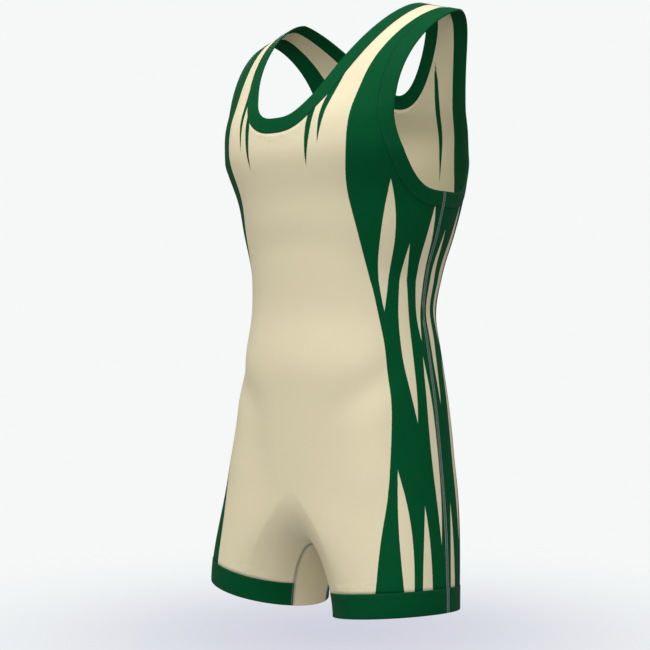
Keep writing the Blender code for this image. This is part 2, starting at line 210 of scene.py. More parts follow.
@dataclass
class BodyForm:
    """The garment's surface: rings for the body, arches for the shoulders, tubes for the legs."""

    rings: tuple[Ring, ...] = (
        Ring(-0.186, 0.1638, 0.1382, 0.1439, 0.0025, 2.28),
        Ring(-0.211, 0.1600, 0.1378, 0.1405, 0.0072, 2.20),
        Ring(-0.238, 0.1538, 0.1350, 0.1350, 0.0118, 2.13),
        Ring(-0.284, 0.1440, 0.1257, 0.1220, 0.0104, 2.14),
        Ring(-0.334, 0.1307, 0.1142, 0.1076, 0.0067, 2.20),
        Ring(-0.394, 0.1302, 0.1060, 0.0962, 0.0015, 2.20),
        Ring(-0.422, 0.1345, 0.1080, 0.0950, 0.0008, 2.22),
        Ring(-0.450, 0.1398, 0.1096, 0.0952, 0.0000, 2.24),
        Ring(-0.494, 0.1480, 0.1068, 0.0972, -0.0012, 2.29),
        Ring(-0.544, 0.1550, 0.1040, 0.0995, -0.0027, 2.36),
        Ring(-0.604, 0.1653, 0.0975, 0.0980, -0.0082, 2.50),
    )
    shoulder_top_z: float = 0.0451
    shoulder_slope: float = 0.3032
    shoulder_round: float = 0.030
    shoulder_y: float = 0.0354
    shoulder_half_width: float = 0.2392
    shoulder_squareness: float = 1.571
    chest_fullness: float = 0.80
    chest_fullness_top: float = 0.36
    crotch_z: float = -0.690
    leg_side_share: float = 0.60
    crotch_squareness: float = 2.5
    leg_centre_x: float = 0.1075
    leg_radius_x: float = 0.0775
    leg_radius_y: float = 0.0815
    leg_centre_y: float = -0.0268
    hem_z: float = -0.760
    hem_rise_out: float = 0.0115
    hem_rise_front: float = 0.0070
    crotch_ease: float = 0.0740
    hem_ease: float = 0.90
    turn_start: float = 0.30
    turn_end: float = 0.90
    ease_start: float = 0.45
    girth_share: float = 0.85
    creases: tuple[Crease, ...] = (
        Crease(0.70, -0.474, 0.056, 0.017, 35, -0.0036),
        Crease(0.36, -0.562, 0.070, 0.024, 84, -0.0032),
        Crease(0.72, -0.590, 0.085, 0.036, 88, 0.0034),
        Crease(0.15, -0.300, 0.080, 0.022, -4, -0.0016),
        Crease(1.10, -0.345, 0.060, 0.014, -12, -0.0020),
        Crease(1.90, -0.380, 0.070, 0.016, 10, -0.0028),
        Crease(2.55, -0.410, 0.080, 0.020, -10, -0.0026),
        Crease(2.45, -0.600, 0.055, 0.018, -30, -0.0018),
        Crease(2.00, -0.200, 0.050, 0.014, 40, -0.0022),
    )

    @property
    def chest(self) -> Ring:
        """The widest ring, where the shoulder arches start."""
        return self.rings[0]

    @property
    def hip(self) -> Ring:
        """The lowest ring, where the legs start."""
        return self.rings[-1]

    @property
    def level_span(self) -> float:
        """Metres of height for each unit of level."""
        return self.shoulder_top_z - self.chest.height

    def ring_at(self, z: np.ndarray) -> np.ndarray:
        """Ring sizes at a height: cubic pieces through the rows, upright at the chest."""
        rows = np.array(
            [
                (r.height, r.half_width, r.front_depth, r.back_depth, r.side_y, r.squareness)
                for r in reversed(self.rings)
            ]
        )
        heights, sizes = rows[:, 0], rows[:, 1:]
        slopes = np.gradient(sizes, heights, axis=0)
        slopes[-1] = 0
        i = np.clip(np.searchsorted(heights, z) - 1, 0, len(heights) - 2)
        span = (heights[i + 1] - heights[i])[..., None]
        t = (z - heights[i])[..., None] / span
        start = (1 + 2 * t) * (1 - t) ** 2 * sizes[i] + t * (1 - t) ** 2 * span * slopes[i]
        end = t * t * (3 - 2 * t) * sizes[i + 1] + t * t * (t - 1) * span * slopes[i + 1]
        return np.moveaxis(start + end, -1, 0)

    def ring_point(self, phi: np.ndarray, z: np.ndarray) -> np.ndarray:
        """A point of the body: half width and depth times a rounded square's shares."""
        half_width, front, back, side_y, squareness = self.ring_at(z)
        s, c = rounded(phi, squareness)
        return np.stack([half_width * s, side_y - np.where(c > 0, front, back) * c, z], -1)

    def arch_point(self, phi: np.ndarray, rise: np.ndarray) -> np.ndarray:
        """Above the chest: a rounded quarter arch from the ring to the sloping shoulder line."""
        s, c = rounded(phi, self.chest.squareness)
        up, _ = rounded(rise, self.shoulder_squareness)
        up = np.clip(up, 0, 1)
        fuller = self.chest_fullness * (1 - ease(up / self.chest_fullness_top))
        power = self.shoulder_squareness + fuller
        out = (1 - up**power) ** (1 / power)
        wider = (self.shoulder_half_width - self.chest.half_width) * up**2
        x = (self.chest.half_width + wider) * s
        top = self.shoulder_top_z - self.shoulder_slope * np.sqrt(x**2 + self.shoulder_round**2)
        depth = np.where(c > 0, self.chest.front_depth, self.chest.back_depth)
        y = self.chest.side_y + (self.shoulder_y - self.chest.side_y) * up**2 - depth * c * out
        return np.stack([x, y, self.chest.height + (top - self.chest.height) * up], -1)

    def body_point(self, phi: np.ndarray, level: np.ndarray) -> np.ndarray:
        """Level over 0 is a rise on the arches, under 0 a height on the rings."""
        phi, level = np.broadcast_arrays(np.asarray(phi, float), np.asarray(level, float))
        low_z = self.chest.height + np.minimum(level, 0) * self.level_span
        low = self.ring_point(phi, low_z)
        high = self.arch_point(phi, np.clip(level, 0, QUARTER))
        return np.where((level > 0)[..., None], high, low)

    def level_of(self, z: float) -> float:
        """The level of a height under the chest ring."""
        return (z - self.chest.height) / self.level_span

    def crotch_point(self, turn: np.ndarray) -> np.ndarray:
        """Half a rounded square in the middle plane: turn 0 front, 1 lowest, 2 back."""
        s, c = rounded(turn * QUARTER, self.crotch_squareness)
        depth = np.where(c > 0, self.hip.front_depth, self.hip.back_depth)
        z = self.hip.height - (self.hip.height - self.crotch_z) * s
        return np.stack([np.zeros_like(turn), self.hip.side_y - depth * c, z], -1)

    def leg_point(self, share: np.ndarray, down: np.ndarray, face: Face) -> np.ndarray:
        """Left leg: a cubic from the hip ring or the crotch curve to the bottom ellipse.

        Args:
            share: 0 at the side seam to 1 at the crotch.
            down: 0 at the hip ring to 1 at the bottom edge.
            face: front or back half of the leg.

        Returns:
            Points of the surface.
        """
        share, down = np.broadcast_arrays(np.asarray(share, float), np.asarray(down, float))
        side = face.sign
        hip_z = np.full(share.shape, self.hip.height)
        phi = face.angle(np.clip(1 - share / self.leg_side_share, 0, 1) * QUARTER)
        ring = self.ring_point(phi, hip_z)
        ring_down = unit(ring - self.ring_point(phi, hip_z + STEP))
        beside = self.ring_point(phi + STEP * side, hip_z)
        around = unit(beside - self.ring_point(phi - STEP * side, hip_z))
        turn = np.clip((share - self.leg_side_share) / (1 - self.leg_side_share), 0, 1)
        turn = turn if face is Face.FRONT else 2 - turn
        middle = self.crotch_point(turn)
        beyond = self.crotch_point(turn + STEP * side) - self.crotch_point(turn - STEP * side)
        inner = (share > self.leg_side_share)[..., None]
        top = np.where(inner, middle, ring)
        turned = (share - self.turn_start) / (self.turn_end - self.turn_start)
        sweep = (ease(turned) * QUARTER)[..., None]
        away = np.where(inner, np.array([1.0, 0.0, 0.0]), around)
        leave = np.cos(sweep) * np.where(inner, unit(beyond), ring_down) + np.sin(sweep) * away
        angle = math.pi * share
        out, ahead = np.cos(angle), side * np.sin(angle)
        end_x = self.leg_centre_x + self.leg_radius_x * out
        end_y = self.leg_centre_y - self.leg_radius_y * ahead
        end_z = self.hem_z + self.hem_rise_out * out + self.hem_rise_front * ahead
        end = np.stack([end_x, end_y, end_z], -1)
        span = np.linalg.norm(end - top, axis=-1)
        near = ease((share - self.ease_start) / (1 - self.ease_start))
        pull_top = (span * (1 - near) + self.crotch_ease * near)[..., None]
        pull_end = (span * self.hem_ease)[..., None]
        t = down[..., None]
        start = (1 + 2 * t) * (1 - t) ** 2 * top + t * (1 - t) ** 2 * pull_top * leave
        return start + t * t * (3 - 2 * t) * end - t * t * (t - 1) * pull_end * UP

    def crease_depth(self, points: np.ndarray) -> np.ndarray:
        """How far the creases push the cloth out: a sum of long tilted bell curves."""
        x, y, z = np.abs(points[..., 0]), points[..., 1], points[..., 2]
        phi = np.arctan2(x / self.hip.half_width, -y / self.hip.front_depth)
        total = np.zeros_like(x)
        for crease in self.creases:
            across = (phi - crease.around) * self.hip.half_width * self.girth_share
            rise = z - crease.height
            tilt = math.radians(crease.tilt)
            along = (across * math.cos(tilt) + rise * math.sin(tilt)) / crease.half_length
            over = (rise * math.cos(tilt) - across * math.sin(tilt)) / crease.half_width
            total += crease.depth * np.exp(-(along**2) - over**2)
        return total

    def lifted(self, patch: Patch, lift: np.ndarray | float = 0.0) -> np.ndarray:
        """A patch's points pushed out by the creases there and by a further lift."""
        return patch.points + patch.normals * (self.crease_depth(patch.points) + lift)[..., None]

    def body_normals(self, phi: np.ndarray, level: np.ndarray) -> np.ndarray:
        """Unit normals of the body by small steps, turned away from its middle."""
        high = np.minimum(level + STEP, QUARTER)
        run = self.body_point(phi + STEP, level) - self.body_point(phi - STEP, level)
        rise = self.body_point(phi, high) - self.body_point(phi, level - STEP)
        found = unit(np.cross(run, rise / (high - level + STEP)[..., None]))
        away = np.nansum(self.body_point(phi, level)[..., :2] * found[..., :2])
        return found if away > 0 else -found

    def body_patch(self, phi: np.ndarray, level: np.ndarray, face: Face) -> Patch:
        """A patch of the body from front angles and levels."""
        phi, level = np.broadcast_arrays(np.asarray(phi, float), np.asarray(level, float))
        angle = face.angle(phi)
        normals = self.body_normals(angle, level)
        share = self.leg_side_share * (1 - phi / QUARTER)
        return Patch(self.body_point(angle, level), normals, share, level * self.level_span)

    def leg_patch(self, share: np.ndarray, down: np.ndarray, face: Face) -> Patch:
        """A patch of the left leg from shares round it and down it."""
        share, down = np.broadcast_arrays(np.asarray(share, float), np.asarray(down, float))
        points = self.leg_point(share, down, face)
        normals = self.leg_normals(share, down, face)
        normals[..., 0] = np.where(points[..., 0] < STEP, 0.0, normals[..., 0])
        height = self.hip.height - self.chest.height - down * (self.hip.height - self.hem_z)
        return Patch(points, unit(normals), share, height)

    def leg_normals(self, share: np.ndarray, down: np.ndarray, face: Face) -> np.ndarray:
        """Unit normals of the leg's surface by small steps, out of the leg's tube."""
        high = np.minimum(down + STEP, 1.0)
        run = self.leg_point(share + STEP, down, face) - self.leg_point(share - STEP, down, face)
        fall = self.leg_point(share, high, face) - self.leg_point(share, down - STEP, face)
        return unit(np.cross(run, fall / (high - down + STEP)[..., None])) * face.sign


@dataclass
class CutPlan:
    """Where the cloth is cut: the openings, the bands along them and the seams' grid lines."""

    form: BodyForm
    neck_front: CutEdge = CutEdge(0.122, 0.098, 2.857, 0.917)
    neck_back: CutEdge = CutEdge(0.340, 0.098, 1.865, 1.216)
    arm_front: CutEdge = CutEdge(-0.134, 0.163, 3.603, 2.789)
    arm_back: CutEdge = CutEdge(-0.134, 0.163, 3.60, 0.95)
    neck_band: float = 0.0195
    arm_band: float = 0.0200
    hem_band: float = 0.0300
    seam_gap: float = 0.0001
    inseam_top: float = 0.868
    inseam_bottom: float = 0.866
    panel_base_z: float = -0.345
    neck_corner: float = 0.46
    arm_corner: float = 0.42
    neck_columns: int = 36
    strap_columns: int = 24
    arm_columns: int = 30
    crotch_columns: int = 20
    strap_rows: int = 60
    chest_rows: int = 40
    waist_rows: int = 40
    leg_rows: int = 32
    samples: int = 600
    leg_samples: int = 200
    offset_steps: int = 12

    def edge_curve(self, edge: CutEdge, from_side: bool) -> tuple[np.ndarray, np.ndarray]:
        """Samples of a cut edge: a quarter of a rounded square, its rise drawn out by a power."""
        t = np.linspace(0, 1, self.samples)
        across, up = rounded(t * QUARTER, edge.squareness)
        left = np.clip(up, 0, 1) ** edge.fullness
        level = (edge.low_share + (1 - edge.low_share) * (1 - left)) * QUARTER
        squareness = self.form.chest.squareness
        share = (edge.shoulder_x / self.form.shoulder_half_width) ** squareness
        top = math.atan((share / (1 - share)) ** (1 / squareness))
        start = QUARTER if from_side else 0.0
        return start + (top - start) * across, level

    def moved_curve(
        self, curve: tuple[np.ndarray, np.ndarray], face: Face, distance: float, toward: float
    ) -> tuple[np.ndarray, np.ndarray]:
        """A curve moved over the surface, square to its first run, in even steps.

        Args:
            curve: angles and levels.
            face: the half of the garment that it lies on.
            distance: how far to move, in metres.
            toward: -1 or 1 for the side to move to.

        Returns:
            Angles and levels of the moved curve.
        """
        phi, level = curve
        body = self.form.body_point
        run = unit(np.gradient(body(face.angle(phi), level), axis=0))
        for _ in range(self.offset_steps):
            here = face.angle(phi)
            high = np.minimum(level + STEP, QUARTER)
            d_phi = (body(here + STEP, level) - body(here - STEP, level)) / (2 * STEP) * face.sign
            d_level = (body(here, high) - body(here, level - STEP)) / (high - level + STEP)[..., None]
            aside = unit(np.cross(np.cross(d_phi, d_level), run)) * toward
            a, b = (d_phi * d_phi).sum(-1), (d_phi * d_level).sum(-1)
            c = (d_level * d_level).sum(-1)
            u, v = (aside * d_phi).sum(-1), (aside * d_level).sum(-1)
            step = distance / self.offset_steps / (a * c - b * b)
            phi = phi + (u * c - v * b) * step
            level = np.minimum(level + (v * a - u * b) * step, QUARTER)
        return phi, level

    def at_shares(
        self,
        edge: tuple[np.ndarray, np.ndarray],
        curve: tuple[np.ndarray, np.ndarray],
        face: Face,
        shares: np.ndarray,
    ) -> tuple[np.ndarray, np.ndarray]:
        """Points of a curve that lie beside shares of the cut edge's length."""
        length = lengths(self.form.body_point(face.angle(edge[0]), edge[1]))
        where = length / length[-1]
        return np.interp(shares, where, curve[0]), np.interp(shares, where, curve[1])

    def rim_lines(
        self, opening: Opening, face: Face, distances: np.ndarray, shares: np.ndarray
    ) -> tuple[np.ndarray, np.ndarray]:
        """Lines beside a cut edge, each at its own distance over the cloth.

        Args:
            opening: the neck or an armhole.
            face: front or back.
            distances: metres from the edge, one for each line.
            shares: places along the edge, as shares of its length.

        Returns:
            Angles and levels, one row for each share and one column for each line.
        """
        neck = opening is Opening.NECK
        front, back = (self.neck_front, self.neck_back) if neck else (self.arm_front, self.arm_back)
        edge = self.edge_curve(front if face is Face.FRONT else back, not neck)
        found = []
        for distance in distances:
            phi, level = edge
            if distance > 0:
                phi, level = self.moved_curve(edge, face, distance, -1.0 if neck else 1.0)
            phi, level = phi.copy(), level.copy()
            phi[0] = 0.0 if neck else QUARTER
            level[-1] = QUARTER
            found.append(self.at_shares(edge, (phi, level), face, shares))
        phis, levels = zip(*found)
        return np.stack(phis, -1), np.stack(levels, -1)

    def edge_shares(self, corner: float, columns: int) -> np.ndarray:
        """Shares of a cut edge: even as far as its corner, then even up the strap."""
        low = np.linspace(0, corner, columns + 1)
        return np.concatenate([low, np.linspace(corner, 1, self.strap_rows + 1)[1:]])

    def clear(self, angles: np.ndarray, radius: float) -> np.ndarray:
        """Angles held off the side or shoulder line by half a seam gap."""
        return np.minimum(angles, QUARTER - self.seam_gap / 2 / radius)

    def panel_top(self, opening: Opening, face: Face) -> np.ndarray:
        """The panel's own edge along an opening's band, as angles and levels."""
        corner, columns, band = self.arm_corner, self.arm_columns, self.arm_band
        if opening is Opening.NECK:
            corner, columns, band = self.neck_corner, self.neck_columns, self.neck_band
        away, shares = np.array([band + self.seam_gap / 2]), self.edge_shares(corner, columns)
        return np.stack(self.rim_lines(opening, face, away, shares))[..., 0]

    def rows_down(self, top: np.ndarray, base: np.ndarray, low: np.ndarray) -> np.ndarray:
        """Rows from a top line down to a base line, and on to a low line."""
        chest, waist = spread(top, base, self.chest_rows), spread(base, low, self.waist_rows)
        return np.concatenate([chest, waist[1:]])

    def panel_patches(self, face: Face) -> list[Patch]:
        """Half a panel: the body below the openings, the strap and the leg."""
        form = self.form
        neck, arm = (self.panel_top(opening, face) for opening in Opening)
        t = np.linspace(0, 1, self.strap_columns + 1)
        scoop, pit = neck[:, : self.neck_columns + 1], arm[:, : self.arm_columns + 1][:, ::-1]
        across = scoop[:, -1:] + (pit[:, :1] - scoop[:, -1:]) * t[1:-1]
        top_phi, top_level = np.concatenate([scoop, across, pit], axis=1)
        base_phi = np.linspace(0, QUARTER, len(top_phi))
        base, low = (base_phi * 0 + form.level_of(z) for z in (self.panel_base_z, form.hip.height))
        phi = self.clear(self.rows_down(top_phi, base_phi, base_phi), form.chest.half_width)
        body = form.body_patch(phi, self.rows_down(top_level, base, low), face)
        rise = neck[:, self.neck_columns :, None] * (1 - t) + arm[:, self.arm_columns :, None] * t
        strap_level = self.clear(rise[1], form.chest.half_width / 2)
        strap = form.body_patch(rise[0], strap_level, face)
        return [body, strap, self.leg_half(face, base_phi)]

    def leg_columns(self, base_phi: np.ndarray) -> np.ndarray:
        """Shares of the hip ring's columns and of those on the crotch curve."""
        ring = (1 - base_phi[::-1] / QUARTER) * self.form.leg_side_share
        inner = np.linspace(self.form.leg_side_share, self.inseam_top, self.crotch_columns + 1)
        return np.concatenate([ring, inner[1:]])

    def hem_top(self, share: np.ndarray, face: Face) -> np.ndarray:
        """How far down each leg column the bottom band starts."""
        down = np.linspace(0, 1, self.leg_samples)[:, None]
        points = self.form.leg_point(share, down, face)
        steps = np.linalg.norm(np.diff(points, axis=0), axis=2)
        left = steps[::-1].cumsum(0)
        ends = 1 - down[1:, 0]
        return np.array([np.interp(self.hem_band, left[:, k], ends) for k in range(len(share))])

    def inseam_share(self, down: np.ndarray) -> np.ndarray:
        """Where the inseam runs at each height of the leg."""
        return self.inseam_top + (self.inseam_bottom - self.inseam_top) * down

    def leg_half(self, face: Face, base_phi: np.ndarray) -> Patch:
        """The panel's part of the left leg, down to its band."""
        columns = self.leg_columns(base_phi)
        top = self.hem_top(columns * self.inseam_bottom / self.inseam_top, face)
        down = spread(np.zeros(len(top)), top, self.leg_rows)
        share = columns * self.inseam_share(down) / self.inseam_top
        half = self.seam_gap / 2
        share[:, 0] += half / self.form.chest.half_width / QUARTER * self.form.leg_side_share
        share[:, -1] -= half / self.form.leg_radius_x / math.pi
        return self.form.leg_patch(share, down, face)


class Socket:
    """A shader socket with the arithmetic that the finishes use."""

    def __init__(self, book: "NodeBook", link: bpy.types.NodeSocket) -> None:
        """Keeps the node tree's wrapper and the socket."""
        self.book = book
        self.link = link

    def __add__(self, other: "Value") -> "Socket":
        """Sum."""
        return self.book.math("ADD", self, other)

    def __sub__(self, other: "Value") -> "Socket":
        """Difference."""
        return self.book.math("SUBTRACT", self, other)

    def __rsub__(self, other: "Value") -> "Socket":
        """Difference with this socket on the right."""
        return self.book.math("SUBTRACT", other, self)

    def __mul__(self, other: "Value") -> "Socket":
        """Product."""
        return self.book.math("MULTIPLY", self, other)

    def __truediv__(self, other: "Value") -> "Socket":
        """Quotient."""
        return self.book.math("DIVIDE", self, other)

    def __pow__(self, other: "Value") -> "Socket":
        """Power."""
        return self.book.math("POWER", self, other)

    def __abs__(self) -> "Socket":
        """Size without sign."""
        return self.book.math("ABSOLUTE", self)

    __radd__ = __add__
    __rmul__ = __mul__

    def clamped(self) -> "Socket":
        """Held between 0 and 1."""
        return self.book.math("ADD", self, 0.0, clamp=True)

    def least(self, other: "Value") -> "Socket":
        """The lower of two values."""
        return self.book.math("MINIMUM", self, other)

    def most(self, other: "Value") -> "Socket":
        """The higher of two values."""
        return self.book.math("MAXIMUM", self, other)

    def sine(self) -> "Socket":
        """Sine of an angle in radians."""
        return self.book.math("SINE", self)


Value = Socket | float


@dataclass
class NodeBook:
    """One material's nodes, made by type, settings and sockets."""

    material: bpy.types.Material

    @property
    def tree(self) -> bpy.types.NodeTree:
        """The material's node tree."""
        return self.material.node_tree

    def node(self, kind: str, settings: dict | None = None, **sockets: object) -> bpy.types.Node:
        """Makes one node.

        Args:
            kind: the node's type name.
            settings: properties to set before its sockets are used.
            sockets: input values or sockets, by name with _ for a space, or in_0, in_1.

        Returns:
            The node.
        """
        made = self.tree.nodes.new(kind)
        for name, value in (settings or {}).items():
            setattr(made, name, value)
        for name, value in sockets.items():
            at = int(name[3:]) if name.startswith("in_") else name.replace("_", " ")
            target = made.inputs[at]
            if isinstance(value, Socket):
                self.tree.links.new(value.link, target)
            elif value is not None:
                target.default_value = value
        return made

    def out(self, node: bpy.types.Node, name: str | int = 0) -> Socket:
        """One output of a node."""
        return Socket(self, node.outputs[name])

    def math(self, operation: str, *values: Value, clamp: bool = False) -> Socket:
        """A Math node over values and sockets."""
        sockets = {f"in_{k}": value for k, value in enumerate(values)}
        settings = {"operation": operation, "use_clamp": clamp}
        return self.out(self.node("ShaderNodeMath", settings, **sockets))

    def mix(self, factor: Value, first: object, second: object) -> Socket:
        """A colour between two colours."""
        settings = {"data_type": "RGBA", "clamp_factor": True}
        made = self.node("ShaderNodeMix", settings, in_0=factor, in_6=first, in_7=second)
        return self.out(made, 2)

    def attribute(self, name: str) -> Socket:
        """A number stored on the piece's own points."""
        made = self.node("ShaderNodeAttribute", {"attribute_name": name})
        return self.out(made, "Fac")

    def place(self) -> Socket:
        """Object coordinates."""
        return self.out(self.node("ShaderNodeTexCoord"), "Object")

    def noise(self, vector: Socket, scale: float, detail: float = 2.0) -> Socket:
        """Smooth noise between 0 and 1 over a vector."""
        made = self.node("ShaderNodeTexNoise", Vector=vector, Scale=scale, Detail=detail)
        return self.out(made, 0)

    def bump(self, height: Value, distance: float, normal: Socket | None = None) -> Socket:
        """A Bump node whose height is in units of a distance."""
        made = self.node(
            "ShaderNodeBump", Height=height, Strength=1.0, Distance=distance, Normal=normal
        )
        return self.out(made)


Colour = tuple[float, float, float]


def linear(colour: Colour) -> tuple[float, float, float, float]:
    """A screen colour of 0 to 255 as the shader's linear colour."""
    share = np.array(colour) / 255
    value = np.where(share <= 0.04045, share / 12.92, ((share + 0.055) / 1.055) ** 2.4)
    return (*(float(v) for v in value), 1.0)


@dataclass(frozen=True)
class Spindle:
    """A long pointed shape of colour: middle, half length, half width and lean."""

    around: float
    height: float
    half_length: float
    half_width: float
    lean: float = 0.0


def new_material(name: str) -> NodeBook:
    """An empty material's node book."""
    material = bpy.data.materials.new(name)
    material.use_nodes = True
    material.node_tree.nodes.clear()
    return NodeBook(material)


def surface_output(book: NodeBook, shader: bpy.types.Node) -> bpy.types.Material:
    """Joins a shader to the material's output and gives the material."""
    out = book.node("ShaderNodeOutputMaterial")
    book.tree.links.new(shader.outputs[0], out.inputs["Surface"])
    return book.material


@dataclass(frozen=True)
class KnitCloth:
    """Stretch knit in one or two colours, with fine wales, courses and seam puckers.

    Scales are waves to the metre, and depths and widths are metres.
    """

    name: str
    ground: Colour
    accent: Colour | None = None
    cream_spindles: tuple[Spindle, ...] = ()
    green_spindles: tuple[Spindle, ...] = ()
    roughness: float = 0.62
    gloss: float = 0.04
    wale: float = 0.00085
    course: float = 0.00070
    knit_depth: float = 0.00006
    cloud_scale: float = 14.0
    fibre_scale: float = 900.0
    dye_change: float = 0.10
    tone_change: float = 0.10
    edge_scale: float = 700.0
    edge_wander: float = 0.0006
    edge_width: float = 0.0005
    pucker_scale: float = 120.0
    pucker_depth: float = 0.0012
    wear_scale: float = 40.0
    wear_change: float = 0.12

    def spindle_edge(self, book: NodeBook, shapes: tuple[Spindle, ...]) -> Socket:
        """Signed distance into the nearest of the pointed shapes.

        Half the width of each falls as 1 less the square of the share of its length.
        """
        around, height = book.attribute("around"), book.attribute("height")
        found = []
        for shape in shapes:
            t = (height - shape.height) * (1 / shape.half_length)
            aside = abs(around - shape.around - t * shape.lean)
            found.append((1.0 - t * t) * shape.half_width - aside)
        return reduce(Socket.most, found)

    def colour(self, book: NodeBook) -> Socket:
        """The printed colour with faint uneven dye."""
        cloudy = book.noise(book.place(), self.cloud_scale, 3.0)
        fine = book.noise(book.place(), self.fibre_scale, 1.0)
        shade = (cloudy - 0.5) * self.dye_change + (fine - 0.5) * self.dye_change + 0.5
        ground = self.tones(book, self.ground, shade)
        if self.accent is None:
            return ground
        accent = self.tones(book, self.accent, shade)
        ragged = (book.noise(book.place(), self.edge_scale, 0.0) - 0.5) * self.edge_wander
        field = book.attribute("field_edge")
        cut = self.spindle_edge(book, self.cream_spindles)
        green = field.least(cut * -1.0).most(self.spindle_edge(book, self.green_spindles))
        mask = ((green + ragged) * (1 / self.edge_width) + 0.5).clamped()
        return book.mix(mask, ground, accent)

    def tones(self, book: NodeBook, colour: Colour, shade: Socket) -> Socket:
        """A colour that runs from a darker to a lighter dye."""
        dark = tuple(c * (1 - self.tone_change) for c in colour)
        light = tuple(min(255.0, c * (1 + self.tone_change)) for c in colour)
        return book.mix(shade, linear(dark), linear(light))

    def relief(self, book: NodeBook) -> Socket:
        """Wales and courses as crossed sine ridges, with puckers that die away from seams."""
        turns_around = book.attribute("around") * (2 * math.pi / self.wale)
        turns_up = book.attribute("height") * (2 * math.pi / self.course)
        knit = turns_around.sine() * 0.6 + turns_up.sine() * 0.4
        normal = book.bump(knit, self.knit_depth)
        near_seam = book.attribute("near_seam")
        pucker = book.noise(book.place(), self.pucker_scale, 1.0) * near_seam
        return book.bump(pucker, self.pucker_depth, normal)

    def make(self) -> bpy.types.Material:
        """The finished material."""
        book = new_material(self.name)
        worn = book.noise(book.place(), self.wear_scale, 2.0)
        shader = book.node(
            "ShaderNodeBsdfPrincipled",
            Base_Color=self.colour(book),
            Roughness=(worn - 0.5) * self.wear_change + self.roughness,
            Normal=self.relief(book),
            Specular_IOR_Level=self.gloss,
        )
        return surface_output(book, shader)


@dataclass(frozen=True)
class SeamThread:
    """Twisted polyester thread."""

    name: str
    colour: Colour
    strand_scale: float = 2500.0
    strand_depth: float = 0.00008
    roughness: float = 0.45
    gloss: float = 0.4

    def make(self) -> bpy.types.Material:
        """The finished material: fine twist lines and slightly uneven colour."""
        book = new_material(self.name)
        strands = book.noise(book.place(), self.strand_scale, 2.0)
        dark, light = tuple(c * 0.78 for c in self.colour), tuple(c * 1.15 for c in self.colour)
        shader = book.node(
            "ShaderNodeBsdfPrincipled",
            Base_Color=book.mix(strands, linear(dark), linear(light)),
            Roughness=strands * 0.2 + self.roughness,
            Normal=book.bump(strands, self.strand_depth),
            Specular_IOR_Level=self.gloss,
        )
        return surface_output(book, shader)


